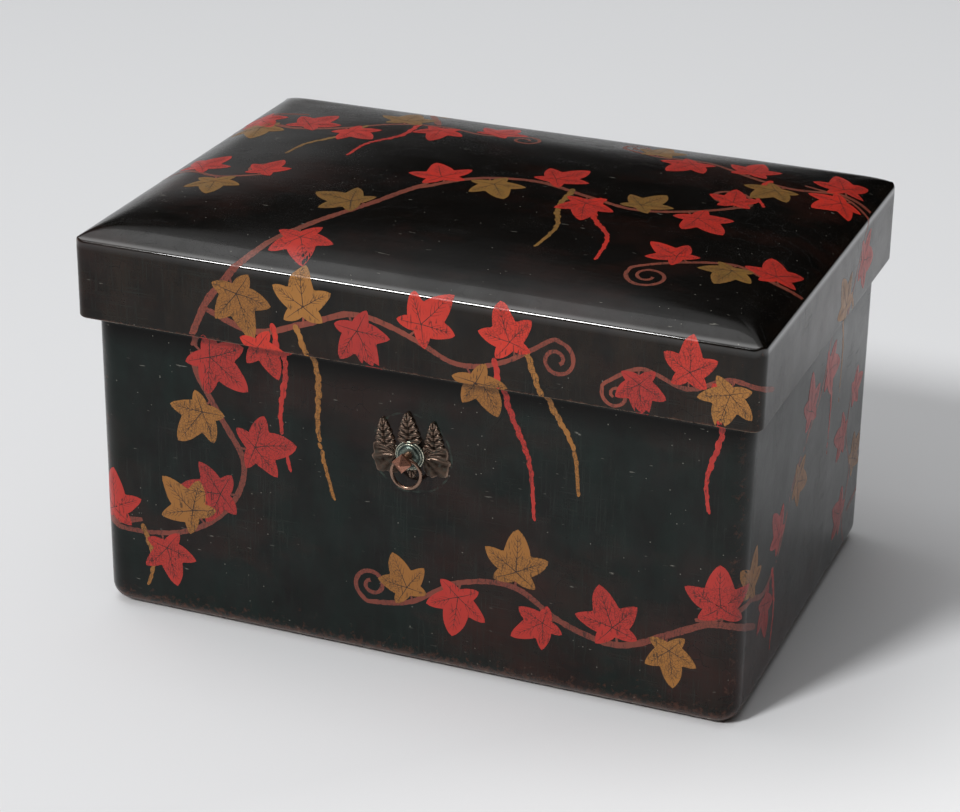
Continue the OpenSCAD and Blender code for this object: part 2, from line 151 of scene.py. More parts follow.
def makeStudio(s):
    floor = bpy.data.meshes.new("floor")
    h = s["floorSize"] / 2
    floor.from_pydata([(-h, -h, 0), (h, -h, 0), (h, h, 0), (-h, h, 0)], [], [(0, 1, 2, 3)])
    floorObject = bpy.data.objects.new("floor", floor)
    bpy.context.scene.collection.objects.link(floorObject)
    paper = bpy.data.materials.new("paperFloor")
    paper.use_nodes = True
    shader = paper.node_tree.nodes["Principled BSDF"]
    across = addNode(paper.node_tree, "ShaderNodeSeparateXYZ", {
        0: addNode(paper.node_tree, "ShaderNodeTexCoord").outputs["Object"]})
    # painted light and shade on the floor: lighter near the box and at the front right, darker far away
    back = mathNode(paper.node_tree, "MULTIPLY_ADD", across.outputs["X"], -0.37, across.outputs["Y"])
    color = mixColor(paper.node_tree, remap(paper.node_tree, back, -0.6, 2.4), (*s["floorNear"], 1),
                     (*s["floorFarPaintedShade"], 1))
    rightFrontPaintedLight = mathNode(paper.node_tree, "SUBTRACT", across.outputs["X"], across.outputs["Y"])
    rightFrontPaintedLight = mathNode(paper.node_tree, "MULTIPLY", remap(paper.node_tree, rightFrontPaintedLight, 0.30, 0.70),
                          remap(paper.node_tree, back, 0.25, -0.25))
    color = mixColor(paper.node_tree, rightFrontPaintedLight, color, (*s["floorRightPaintedLight"], 1))
    paper.node_tree.links.new(color, shader.inputs["Base Color"])
    shader.inputs["Roughness"].default_value = 0.9
    shader.inputs["Specular IOR Level"].default_value = 0.1
    floor.materials.append(paper)
    world = bpy.data.worlds.new("studio")
    bpy.context.scene.world = world
    world.use_nodes = True
    tree = world.node_tree
    direction = addNode(tree, "ShaderNodeTexCoord").outputs["Generated"]
    direction = addNode(tree, "ShaderNodeSeparateXYZ", {0: direction})
    height = direction.outputs["Z"]
    level = 0.0
    for (low, a), (high, b) in zip(s["dome"], s["dome"][1:]):
        level = mathNode(tree, "ADD", level, remap(tree, height, low, high, 0.0, b - a))
    reach = remap(tree, direction.outputs["X"], s["leftTo"], s["leftFrom"], s["horizonLeft"], s["horizonBack"])
    horizon = remap(tree, height, s["horizonStart"], reach, s["horizonLevel"], 0.0)
    level = mathNode(tree, "MULTIPLY", level, remap(tree, direction.outputs["X"], 0.0, 0.45, 1.0, s["rightLevel"]))
    tree.links.new(mathNode(tree, "ADD", level, horizon), tree.nodes["Background"].inputs["Color"])
    makeSun("keySun", **s["key"])
    makePanel("topPanel", **s["panel"])


bpy.context.scene.view_settings.view_transform = "Standard"
makeCamera(cameraView)
makeStudio(studio)
print("studio and camera made")


# the lacquered shells, all in metres
crown = dict(
    rise=lidHigh.z - 0.257, ridge=0.257,  # height of the ridge line above the floor
    shoulderRadius=0.058, shoulderAngle=math.radians(37),
    hipSoft=0.0012, domeSoft=0.0080, softReach=0.030,  # rounding of the hips, near the ridge and further in
)
lidShape = dict(
    halfX=lidHigh.x, halfY=lidHigh.y, bottom=lidLow.z,
    corner=0.008, band=0.0065, bandCorner=0.004, bandTop=0.206,
    lowerEdge=0.0012, ridgeRound=0.0030,
)
bodyShape = dict(
    halfX=bodyHigh.x, halfY=bodyHigh.y, top=bodyHigh.z,
    corner=0.016, bottomEdge=0.013, rim=0.0107, rimCorner=0.003, rimDrop=0.0012, rimRound=0.0011,
)
coat = dict(
    inset=0.20 * mm,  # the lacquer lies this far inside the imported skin, which leaves room for the painting
    thickness=0.5 * mm,
    wave=0.07 * mm,  # unevenness of a hand-polished surface
    waveFade=7 * mm,
)
ringSteps = dict(long=84, short=60, corner=10)


def smoothStep(x):
    x = np.clip(x, 0, 1)
    return x * x * (3 - 2 * x)


def handWave(x, y, z):
    rng = np.random.default_rng(7)
    total = np.zeros(np.broadcast(x, y, z).shape)
    for length in (0.032, 0.047, 0.061, 0.083, 0.118):
        direction = rng.normal(size=3)
        direction *= 2 * math.pi / length / np.linalg.norm(direction)
        total = total + np.sin(direction[0] * x + direction[1] * y + direction[2] * z + rng.uniform(0, 6.28))
    return coat["wave"] * total / 3


def crownProfile(halfWidth, across, inset):
    c = crown
    sinA, cosA = math.sin(c["shoulderAngle"]), math.cos(c["shoulderAngle"])
    radius = c["shoulderRadius"]
    join = 2 * math.atan((c["rise"] - radius * (1 - cosA)) / (halfWidth - radius * sinA))
    domeRadius = (halfWidth - radius * (sinA - math.sin(join))) / math.sin(join)
    centre = halfWidth - radius * sinA
    across = np.abs(across)
    domeHeight = c["ridge"] + c["rise"] - domeRadius + np.sqrt((domeRadius - inset) ** 2 - across ** 2)
    reach = np.clip(across - centre, -radius, radius - inset)
    shoulder = c["ridge"] - radius * cosA + np.sqrt(np.maximum((radius - inset) ** 2 - reach ** 2, 0))
    return np.where(across < centre + (radius - inset) * math.sin(join), domeHeight, shoulder)


def crownHeight(x, y, inset):
    a = crownProfile(lidShape["halfX"], x, inset)
    b = crownProfile(lidShape["halfY"], y, inset)
    depth = np.minimum(lidShape["halfX"] - np.abs(x), lidShape["halfY"] - np.abs(y))
    soft = crown["hipSoft"] + (crown["domeSoft"] - crown["hipSoft"]) * smoothStep(depth / crown["softReach"])
    blend = np.maximum(soft - np.abs(a - b), 0) / soft
    height = np.minimum(a, b) - blend * blend * soft / 4
    return height + handWave(x, y, 0.28) * smoothStep((depth - 0.5 * mm) / coat["waveFade"])


def ringDirections(steps):
    rows = []
    for k in range(4):  # front, right, back, left: each a side and then the corner after it
        count = steps["long"] if k % 2 == 0 else steps["short"]
        normal = [(0, -1), (1, 0), (0, 1), (-1, 0)][k]
        start = [(-1, -1), (1, -1), (1, 1), (-1, 1)][k]
        end = [(1, -1), (1, 1), (-1, 1), (-1, -1)][k]
        for i in range(count):
            # closer together near the corners, so that the hips stay sharp
            f = i / count
            f = f - math.sin(2 * math.pi * f) * 0.1
            rows.append((start[0] + (end[0] - start[0]) * f, start[1] + (end[1] - start[1]) * f, *normal))
        for i in range(steps["corner"]):
            angle = math.radians(90 * k - 90 + 90 * i / steps["corner"])
            rows.append((*end, math.cos(angle), math.sin(angle)))
    return np.array(rows).T


ringKx, ringKy, ringNx, ringNy = ringDirections(ringSteps)


def ringAt(halfX, halfY, radius):
    return ringKx * (halfX - radius) + radius * ringNx, ringKy * (halfY - radius) + radius * ringNy


def wallRing(shape, inset, radius, z, wave=True):
    x, y = ringAt(shape["halfX"] - inset, shape["halfY"] - inset, radius)
    z = np.broadcast_to(z, x.shape)
    if wave:
        low = shape.get("bottom", shape.get("bottomEdge", 0))
        high = crown["ridge"] if shape is lidShape else shape["top"]
        fade = smoothStep((z - low) / coat["waveFade"]) * smoothStep((high - z) / coat["waveFade"])
        shift = handWave(x, y, z) * fade
        x, y = x + ringNx * shift, y + ringNy * shift
    return np.stack([x, y, z], 1)


def lidOutline(inset, bottom):
    s = lidShape
    rings = []
    corner = s["corner"] - inset
    edge = s["lowerEdge"]
    for k in range(6):  # rounded lower edge
        angle = math.radians(90 * k / 5)
        inwards = edge * (1 - math.sin(angle))
        rings.append(wallRing(s, inset + inwards, corner - inwards, bottom + edge * (1 - math.cos(angle)), False))
    x, y = ringAt(s["halfX"] - inset, s["halfY"] - inset, corner)
    wallTop = crownHeight(x, y, inset)
    bend = math.pi / 2 - crown["shoulderAngle"]
    run = s["ridgeRound"] * math.tan(bend / 2)
    start = bottom + edge
    for f in (0.02, 0.1, 0.25, 0.4, 0.55, 0.7, 0.82, 0.92, 0.975, 0.992):
        rings.append(wallRing(s, inset, corner, start + (wallTop - run - start) * f))
    for k in range(9):  # rounded ridge, the bend between the skirt and the shoulder
        angle = bend * k / 8
        inwards = s["ridgeRound"] * (1 - math.cos(angle))
        x, y = ringAt(s["halfX"] - inset - inwards, s["halfY"] - inset - inwards, corner - inwards)
        z = wallTop - run + s["ridgeRound"] * math.sin(angle)
        if k == 8:
            z = crownHeight(x, y, inset)
        rings.append(np.stack([x, y, z], 1))
    depth, step = s["ridgeRound"] * (1 - math.cos(bend)) + 0.0002, 0.0003
    while depth < s["halfY"] - inset - 0.001:
        radius = min(max(corner - depth, 0.003), s["halfY"] - inset - depth)
        x, y = ringAt(s["halfX"] - inset - depth, s["halfY"] - inset - depth, radius)
        rings.append(np.stack([x, y, crownHeight(x, y, inset)], 1))
        depth += step
        step = min(step * 1.22, 0.0045)
    x, y = ringAt(s["halfX"] - s["halfY"], 0.0, 0.0)
    rings.append(np.stack([x, y, crownHeight(x, y, inset)], 1))
    return rings


def loft(name, rings, closed):
    count = len(rings[0])
    points = np.concatenate(rings)
    faces = []
    last = len(rings) if closed else len(rings) - 1
    for i in range(last):
        a, b = i * count, (i + 1) % len(rings) * count
        for j in range(count):
            k = (j + 1) % count
            faces.append((a + j, a + k, b + k, b + j))
    mesh = bpy.data.meshes.new(name)
    mesh.from_pydata(points.tolist(), [], faces)
    tidyShell(mesh)
    return mesh


def tidyShell(mesh, distance=2e-6):
    bm = bmesh.new()
    bm.from_mesh(mesh)
    bmesh.ops.remove_doubles(bm, verts=bm.verts, dist=distance)
    bmesh.ops.dissolve_degenerate(bm, edges=bm.edges, dist=distance)
    bmesh.ops.recalc_face_normals(bm, faces=bm.faces)
    if bm.calc_volume(signed=True) < 0:
        bmesh.ops.reverse_faces(bm, faces=bm.faces)
    bm.to_mesh(mesh)
    bm.free()
    mesh.shade_smooth()


def makeObject(name, mesh, materials, body, replaced=()):
    piece = bpy.data.objects.new(name, mesh)
    bpy.context.scene.collection.objects.link(piece)
    for material in materials:
        mesh.materials.append(material)
    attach(piece, body)
    if replaced:
        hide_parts(*replaced)
    return piece


def setWear(mesh, wear, polish=None):
    # how far the lacquer is rubbed through, and where hands have polished it
    for name, values in (("wear", wear), ("polish", polish if polish is not None else wear * 0)):
        mesh.attributes.new(name, "FLOAT", "POINT").data.foreach_set("value", values.astype(np.float32))


def meshPoints(mesh):
    points = np.zeros(len(mesh.vertices) * 3)
    mesh.vertices.foreach_get("co", points)
    return points.reshape(-1, 3)


def makeLidShell():
    s = lidShape
    e, t = coat["inset"], coat["thickness"]
    outer = lidOutline(e, s["bottom"] + e)
    inner = [r for r in lidOutline(e + t, s["bandTop"] - s["lowerEdge"])]
    band = [
        wallRing(s, s["band"], s["bandCorner"], s["bandTop"], False),
        wallRing(s, s["band"], s["bandCorner"], s["bottom"] + 0.0006, False),
        wallRing(s, s["band"] - 0.0001, s["bandCorner"], s["bottom"] + 0.0004, False),
        wallRing(s, s["band"] - 0.0004, s["bandCorner"], s["bottom"] + e, False),
    ]
    mesh = loft("lidShell", inner[::-1] + band + outer, False)
    p = meshPoints(mesh)
    lowEdge = 1.15 * np.exp(-np.maximum(p[:, 2] - s["bottom"], 0) / (1.1 * mm))
    depth = np.minimum(s["halfX"] - np.abs(p[:, 0]), s["halfY"] - np.abs(p[:, 1]))
    fromRidge = np.hypot(np.maximum(depth, 0), np.minimum(p[:, 2] - crown["ridge"], 0))
    ridge = 0.25 * np.exp(-fromRidge / (1.2 * mm))
    corner = 0.55 * smoothStep(1 - np.hypot(s["halfX"] - np.abs(p[:, 0]), s["halfY"] - np.abs(p[:, 1])) / 0.007)
    setWear(mesh, np.maximum.reduce([lowEdge, ridge, corner]), smoothStep(1.8 - fromRidge / (2.4 * mm)))
    return mesh


def makeCrownBoard():
    # the carved top board: a copy whose upper face follows the softened hips, a little lower
    mesh = frame["nodes"]["lid_top_board"].data.copy()
    bm = bmesh.new()
    bm.from_mesh(mesh)
    bmesh.ops.remove_doubles(bm, verts=bm.verts, dist=1e-6)
    bm.to_mesh(mesh)
    bm.free()
    p = meshPoints(mesh)
    sharp = np.minimum(crownProfile(lidShape["halfX"], p[:, 0], mm), crownProfile(lidShape["halfY"], p[:, 1], mm))
    upper = np.abs(p[:, 2] - sharp) < 0.3 * mm
    p[:, 2] -= np.where(upper, np.maximum(sharp - crownHeight(p[:, 0], p[:, 1], mm), 0) + 0.3 * mm, 0)
    mesh.vertices.foreach_set("co", p.ravel())
    mesh.materials.clear()
    mesh.update()
    return mesh


def bodyOutline(inset):
    s = bodyShape
    corner = s["corner"] - inset
    rings = []
    for k in range(5):  # rounded rim
        angle = math.radians(90 * k / 4)
        inwards = s["rimRound"] * (1 - math.sin(angle))
        z = s["top"] - inset - s["rimRound"] * (1 - math.cos(angle))
        rings.append(wallRing(s, inset + inwards, corner - inwards, z, False))
    top, low = s["top"] - inset - s["rimRound"], s["bottomEdge"]
    for f in (0.002, 0.01, 0.03, 0.08, 0.17, 0.28, 0.4, 0.52, 0.64, 0.76, 0.87, 0.95, 0.985):
        rings.append(wallRing(s, inset, corner, top + (low - top) * f))
    for k in range(15):  # rounded bottom edge
        angle = math.radians(90 * k / 14)
        radius = s["bottomEdge"] - inset
        inwards = radius * (1 - math.cos(angle))
        rings.append(wallRing(s, inset + inwards, corner - inwards, low - radius * math.sin(angle), False))
    return rings


def makeBodyShell():
    s = bodyShape
    outer = bodyOutline(coat["inset"])
    inner = bodyOutline(coat["inset"] + coat["thickness"])[5:]
    top = s["top"] - s["rimDrop"]
    rim = [
        wallRing(s, s["rim"], s["rimCorner"], top, False),
        wallRing(s, s["rim"], s["rimCorner"], s["top"] - 0.0007, False),
        wallRing(s, s["rim"] - 0.0002, s["rimCorner"], s["top"] - 0.0004, False),
        wallRing(s, s["rim"] - 0.0006, s["rimCorner"] + 0.0004, s["top"] - coat["inset"], False),
    ]
    inside = wallRing(s, coat["inset"] + coat["thickness"], s["corner"] - coat["inset"] - coat["thickness"], top, False)
    mesh = loft("bodyShell", rim + outer + inner[::-1] + [inside], True)
    p = meshPoints(mesh)
    bottom = 0.75 * np.exp(-np.maximum(p[:, 2] - 0.004, 0) / (9 * mm))
    rimWear = 0.7 * np.exp(-np.maximum(s["top"] - p[:, 2], 0) / (1.5 * mm))
    away = np.hypot(s["halfX"] - 0.004 - np.abs(p[:, 0]), s["halfY"] - 0.004 - np.abs(p[:, 1]))
    corner = 0.32 * smoothStep(1 - away / 0.012)
    setWear(mesh, np.maximum.reduce([bottom, rimWear, corner]))
    return mesh


# shader groups, each made once and given its own values in every material
def newGroup(name, inputs, outputs):
    group = bpy.data.node_groups.new(name, "ShaderNodeTree")
    for label, kind, value in inputs:
        socket = group.interface.new_socket(label, in_out="INPUT", socket_type=kind)
        if value is not None:
            socket.default_value = value
    for label, kind in outputs:
        group.interface.new_socket(label, in_out="OUTPUT", socket_type=kind)
    start = group.nodes.new("NodeGroupInput")
    end = group.nodes.new("NodeGroupOutput")
    return group, start.outputs, end


number, shade, vector = "NodeSocketFloat", "NodeSocketColor", "NodeSocketVector"


def buildMottleGroup():
    group, given, end = newGroup("lacquerMottle", [
        ("Vector", vector, None), ("Scale", number, 10.0), ("Dark", shade, None), ("Red", shade, None),
        ("Haze", shade, None), ("Red Amount", number, 0.7), ("Haze Amount", number, 0.6),
    ], [("Color", shade), ("Grey", number)])
    broad = noise(group, given["Vector"], given["Scale"], 5.0, 0.62, stretch=(0.55, 0.8, 1.0))
    redPlaces = mathNode(group, "MULTIPLY", remap(group, broad, 0.50, 0.66), given["Red Amount"])
    fine = noise(group, given["Vector"], mathNode(group, "MULTIPLY", given["Scale"], 4.1), 5.0, 0.7,
                 stretch=(1.0, 1.0, 0.4))
    hazePlaces = mathNode(group, "MULTIPLY", remap(group, fine, 0.34, 0.70), given["Haze Amount"])
    color = mixColor(group, hazePlaces, given["Dark"], given["Haze"])
    color = mixColor(group, redPlaces, color, given["Red"])
    group.links.new(color, end.inputs["Color"])
    group.links.new(fine, end.inputs["Grey"])
    return group


def buildWeaveGroup():
    # threads of the cloth ground that show faintly through thin lacquer, and long strokes of the brush
    group, given, end = newGroup("clothAndBrush", [
        ("Vector", vector, None), ("Threads", number, 800.0), ("Strokes", number, 240.0),
    ], [("Cloth", number), ("Brush", number)])
    upright = noise(group, given["Vector"], given["Threads"], 2.0, 0.5, stretch=(1.0, 1.0, 0.045))
    level = noise(group, given["Vector"], given["Threads"], 2.0, 0.5, stretch=(0.045, 0.045, 1.0))
    where = noise(group, given["Vector"], 14.0, 2.0, 0.5)
    cloth = mathNode(group, "MAXIMUM", remap(group, upright, 0.52, 0.72), remap(group, level, 0.55, 0.74))
    group.links.new(mathNode(group, "MULTIPLY", cloth, remap(group, where, 0.36, 0.62)), end.inputs["Cloth"])
    brush = noise(group, given["Vector"], given["Strokes"], 4.0, 0.6, stretch=(0.07, 1.0, 1.0))
    group.links.new(brush, end.inputs["Brush"])
    return group


def buildWearGroup():
    group, given, end = newGroup("edgeRubbing", [
        ("Vector", vector, None), ("Near", number, 0.0), ("Scale", number, 300.0), ("Amount", number, 0.5),
    ], [("Mask", number), ("Deep", number)])
    patches = noise(group, given["Vector"], given["Scale"], 5.0, 0.65)
    level = mathNode(group, "ADD", mathNode(group, "MULTIPLY", given["Near"], given["Amount"]), patches)
    group.links.new(remap(group, level, 0.72, 0.92), end.inputs["Mask"])
    group.links.new(remap(group, level, 1.0, 1.15), end.inputs["Deep"])
    return group


def buildCrackleGroup():
    group, given, end = newGroup("fineCrackle", [
        ("Vector", vector, None), ("Scale", number, 90.0), ("Width", number, 0.03), ("Density", number, 0.5),
    ], [("Crack", number), ("Height", number)])
    bend = addNode(group, "ShaderNodeTexNoise", {"Vector": given["Vector"], "Scale": 60.0, "Detail": 2.0})
    moved = addNode(group, "ShaderNodeMix", {0: 0.012, 4: given["Vector"], 5: bend.outputs["Color"]},
                    data_type="VECTOR").outputs[1]
    cells = addNode(group, "ShaderNodeTexVoronoi", {"Vector": moved, "Scale": given["Scale"]},
                    feature="DISTANCE_TO_EDGE").outputs["Distance"]
    line = mathNode(group, "LESS_THAN", cells, given["Width"])
    some = noise(group, given["Vector"], 17.0, 2.0, 0.5)
    line = mathNode(group, "MULTIPLY", line, mathNode(group, "GREATER_THAN", given["Density"], some))
    group.links.new(line, end.inputs["Crack"])
    group.links.new(mathNode(group, "MULTIPLY", line, -1.0), end.inputs["Height"])
    return group


def buildScratchGroup():
    group, given, end = newGroup("hairScratches", [
        ("Vector", vector, None), ("Along", vector, (1.0, 1.0, 1.0)), ("Scale", number, 140.0),
        ("Threshold", number, 0.7),
    ], [("Mask", number), ("Height", number)])
    stretched = addNode(group, "ShaderNodeVectorMath", {0: given["Vector"], 1: given["Along"]},
                        operation="MULTIPLY").outputs[0]
    streaks = addNode(group, "ShaderNodeTexNoise",
                      {"Vector": stretched, "Scale": given["Scale"], "Detail": 2.0}).outputs["Fac"]
    sharp = remap(group, streaks, given["Threshold"], mathNode(group, "ADD", given["Threshold"], 0.05))
    group.links.new(sharp, end.inputs["Mask"])
    group.links.new(streaks, end.inputs["Height"])
    return group


mottleGroup = buildMottleGroup()
wearGroup = buildWearGroup()
crackleGroup = buildCrackleGroup()
scratchGroup = buildScratchGroup()
weaveGroup = buildWeaveGroup()


def placeGroup(tree, group, inputs):
    node = tree.nodes.new("ShaderNodeGroup")
    node.node_tree = group
    for key, value in inputs.items():
        if isinstance(value, bpy.types.NodeSocket):
            tree.links.new(value, node.inputs[key])
        else:
            node.inputs[key].default_value = value
    return node.outputs


def newMaterial(name, **constants):
    material = bpy.data.materials.new(name)
    material.use_nodes = True
    tree = material.node_tree
    shader = tree.nodes["Principled BSDF"]
    for label, value in constants.items():
        shader.inputs[label].default_value = value
    place = addNode(tree, "ShaderNodeTexCoord").outputs["Object"]
    return material, tree, shader, place


def bumpInto(tree, shader, height, strength, distance):
    bump = addNode(tree, "ShaderNodeBump", {"Height": height, "Strength": strength, "Distance": distance})
    tree.links.new(bump.outputs[0], shader.inputs["Normal"])


lacquerLook = dict(
    dark=(0.0019, 0.0016, 0.0013, 1), red=(0.026, 0.0070, 0.0045, 1),
    # the lid's haze is warmer than the body's: the lid's own browner lacquer with a painted warm reflection
    bodyHaze=(0.0030, 0.0085, 0.0066, 1), lidHazeAndWarmReflection=(0.0150, 0.0088, 0.0050, 1),
    rubbed=(0.058, 0.022, 0.013, 1), bare=(0.24, 0.20, 0.15, 1), fleck=(0.36, 0.35, 0.30, 1),
    thread=(0.0130, 0.0170, 0.0140, 1), halo=(0.030, 0.046, 0.036, 1), haloCentre=(-0.0030, 0.1485, -0.149), haloRadius=0.0285,
    roughLow=0.17, roughHigh=0.27,
)


def lacquerMaterial(look):
    material, tree, shader, place = newMaterial("agedLacquer", **{
        "Coat Roughness": 0.05, "Specular IOR Level": 0.15,
    })
    polish = addNode(tree, "ShaderNodeAttribute", attribute_name="polish").outputs["Fac"]
    near = addNode(tree, "ShaderNodeAttribute", attribute_name="wear").outputs["Fac"]
    up = addNode(tree, "ShaderNodeSeparateXYZ", {0: place}).outputs["Z"]
    walls = remap(tree, up, 0.262, 0.252)
    # painted shade: a band of the body just under the lid's edge gets a darker colour and less coat
    underLidShade = mathNode(tree, "MULTIPLY", remap(tree, up, 0.184, 0.198), remap(tree, up, 0.2015, 0.2005))
    coatShare = mathNode(tree, "MULTIPLY", remap(tree, underLidShade, 0.0, 1.0, 0.18, 0.0),
                         remap(tree, noise(tree, place, 40.0, 3.0), 0.3, 0.7, 0.6, 1.3))
    tree.links.new(mathNode(tree, "ADD", coatShare, mathNode(tree, "MULTIPLY", polish, 0.82), clamp=True),
                   shader.inputs["Coat Weight"])
    # the lid takes a warmer haze than the body: its own browner lacquer with a painted warm reflection
    haze = mixColor(tree, remap(tree, up, 0.200, 0.208), look["bodyHaze"], look["lidHazeAndWarmReflection"])
    ground = placeGroup(tree, mottleGroup, {
        "Vector": place, "Scale": 11.0, "Dark": look["dark"], "Red": look["red"], "Haze": haze,
        "Red Amount": remap(tree, up, 0.11, 0.01, 0.45, 0.95), "Haze Amount": remap(tree, walls, 0, 1, 0.10, 1.0)})
    wear = placeGroup(tree, wearGroup, {"Vector": place, "Near": near, "Scale": 230.0, "Amount": 0.66})
    crackle = placeGroup(tree, crackleGroup, {"Vector": place, "Scale": 62.0, "Width": 0.010, "Density": 0.46})
    scratches = placeGroup(tree, scratchGroup, {
        "Vector": place, "Along": (0.20, 1.0, 1.0), "Scale": 430.0, "Threshold": 0.735})
    threads = placeGroup(tree, weaveGroup, {"Vector": place, "Threads": 900.0, "Strokes": 230.0})
    color = mixColor(tree, mathNode(tree, "MULTIPLY", threads["Cloth"], mathNode(tree, "MULTIPLY", walls, 0.5)),
                     ground["Color"], look["thread"])
    # painted shade under the lid's edge
    color = mixColor(tree, underLidShade, color, look["dark"])
    color = mixColor(tree, wear["Mask"], color, look["rubbed"])
    color = mixColor(tree, wear["Deep"], color, look["bare"])
    color = mixColor(tree, mathNode(tree, "MULTIPLY", crackle["Crack"], 0.6), color, look["dark"])
    color = mixColor(tree, mathNode(tree, "MULTIPLY", scratches["Mask"], 0.3), color, look["fleck"])
    dust = addNode(tree, "ShaderNodeTexVoronoi", {"Vector": place, "Scale": 170.0}).outputs["Distance"]
    dust = mathNode(tree, "MULTIPLY", mathNode(tree, "LESS_THAN", dust, 0.065),
                    mathNode(tree, "GREATER_THAN", noise(tree, place, 21.0, 2.0), 0.52))
    color = mixColor(tree, mathNode(tree, "MULTIPLY", dust, 0.35), color, look["fleck"])
    fromPlate = addNode(tree, "ShaderNodeVectorMath", {0: place, 1: look["haloCentre"]}, operation="ADD").outputs[0]
    away = addNode(tree, "ShaderNodeVectorMath", {0: fromPlate}, operation="LENGTH").outputs["Value"]
    away = mathNode(tree, "ADD", away, mathNode(tree, "MULTIPLY", noise(tree, place, 60.0, 2.0), 0.004))
    halo = mathNode(tree, "COMPARE", away, look["haloRadius"], 0.0006)
    halo = mathNode(tree, "MULTIPLY", halo, remap(tree, noise(tree, place, 110.0, 3.0), 0.50, 0.62))
    color = mixColor(tree, mathNode(tree, "MULTIPLY", halo, 0.6), color, look["halo"])
    tree.links.new(color, shader.inputs["Base Color"])
    cloudy = noise(tree, place, 30.0, 5.0, 0.65, stretch=(0.6, 1.0, 1.0))
    rough = remap(tree, cloudy, 0.3, 0.7, look["roughLow"], look["roughHigh"])
    rough = mathNode(tree, "ADD", rough, mathNode(tree, "MULTIPLY", wear["Mask"], 0.12))
    rough = mathNode(tree, "ADD", rough, mathNode(tree, "MULTIPLY", threads["Cloth"], 0.08))
    rough = mathNode(tree, "SUBTRACT", rough, mathNode(tree, "MULTIPLY", polish, 0.10))
    tree.links.new(rough, shader.inputs["Roughness"])
    ripple = noise(tree, place, 260.0, 5.0, 0.62)
    height = mathNode(tree, "ADD", ripple, mathNode(tree, "MULTIPLY", threads["Brush"], 0.9))
    height = mathNode(tree, "ADD", height, mathNode(tree, "MULTIPLY", threads["Cloth"], -0.22))
    height = mathNode(tree, "ADD", height, mathNode(tree, "MULTIPLY", crackle["Height"], 0.6))
    height = mathNode(tree, "MULTIPLY", height, remap(tree, polish, 0.0, 0.8, 1.0, 0.0))
    bumpInto(tree, shader, height, 0.62, 0.00012)
    return material


def liningMaterial():
    material, tree, shader, place = newMaterial("insideLacquer", **{"Coat Weight": 0.2, "Coat Roughness": 0.2})
    ground = placeGroup(tree, mottleGroup, {
        "Vector": place, "Scale": 9.0, "Dark": (0.007, 0.006, 0.005, 1),
        "Red": (0.020, 0.008, 0.006, 1), "Haze": (0.012, 0.011, 0.009, 1)})
    tree.links.new(ground["Color"], shader.inputs["Base Color"])
    tree.links.new(remap(tree, ground["Grey"], 0.3, 0.7, 0.34, 0.46), shader.inputs["Roughness"])
    bumpInto(tree, shader, noise(tree, place, 240.0, 3.0), 0.35, 0.0001)
    return material


def paintMaterial(name, color, dull, onTop, roughness=0.30):
    # lacquer paint: brushed density, a shade for each leaf, and worn places where the black shows through
    material, tree, shader, place = newMaterial(name, **{
        "Coat Weight": 0.1, "Coat Roughness": 0.1, "Specular IOR Level": 0.35})
    own = addNode(tree, "ShaderNodeAttribute", attribute_name="shade").outputs["Fac"]
    up = addNode(tree, "ShaderNodeSeparateXYZ", {0: place}).outputs["Z"]
    brushed = noise(tree, place, 170.0, 5.0, 0.7, stretch=(1.0, 1.0, 0.4))
    mixed = mathNode(tree, "ADD", mathNode(tree, "MULTIPLY", own, 0.7), mathNode(tree, "MULTIPLY", brushed, 0.6))
    paint = mixColor(tree, remap(tree, mixed, 0.2, 1.1), (*color, 1), (*dull, 1))
    # on the lid's top the paint turns darker and more olive
    paint = mixColor(tree, remap(tree, up, 0.257, 0.266), paint, mixColor(tree, brushed, (*onTop, 1), (*dull, 1)))
    # painted shade and older varnish: the paint on the body, below the lid's edge, is dulled
    bodyShadeAndVarnish = mathNode(tree, "MULTIPLY", remap(tree, up, 0.206, 0.199), 0.55)
    paint = mixColor(tree, bodyShadeAndVarnish, paint, (*dull, 1))
    wear = placeGroup(tree, wearGroup, {"Vector": place, "Near": own, "Scale": 480.0, "Amount": 0.10})
    crackle = placeGroup(tree, crackleGroup, {"Vector": place, "Scale": 520.0, "Width": 0.050, "Density": 0.52})
    ticks = placeGroup(tree, scratchGroup, {
        "Vector": place, "Along": (1.0, 1.0, 0.24), "Scale": 820.0, "Threshold": 0.60})
    loss = mathNode(tree, "MAXIMUM", mathNode(tree, "MULTIPLY", wear["Mask"], 0.9),
                    mathNode(tree, "MULTIPLY", crackle["Crack"], 0.6))
    worn = remap(tree, noise(tree, place, 90.0, 2.0), 0.36, 0.60)
    loss = mathNode(tree, "MAXIMUM", loss, mathNode(tree, "MULTIPLY", mathNode(tree, "MULTIPLY", ticks["Mask"], worn), 0.75))
    tree.links.new(mixColor(tree, loss, paint, lacquerLook["dark"]), shader.inputs["Base Color"])
    tree.links.new(remap(tree, brushed, 0.3, 0.7, roughness, roughness + 0.14), shader.inputs["Roughness"])
    bumpInto(tree, shader, mathNode(tree, "SUBTRACT", brushed, loss), 0.5, 0.00008)
    return material


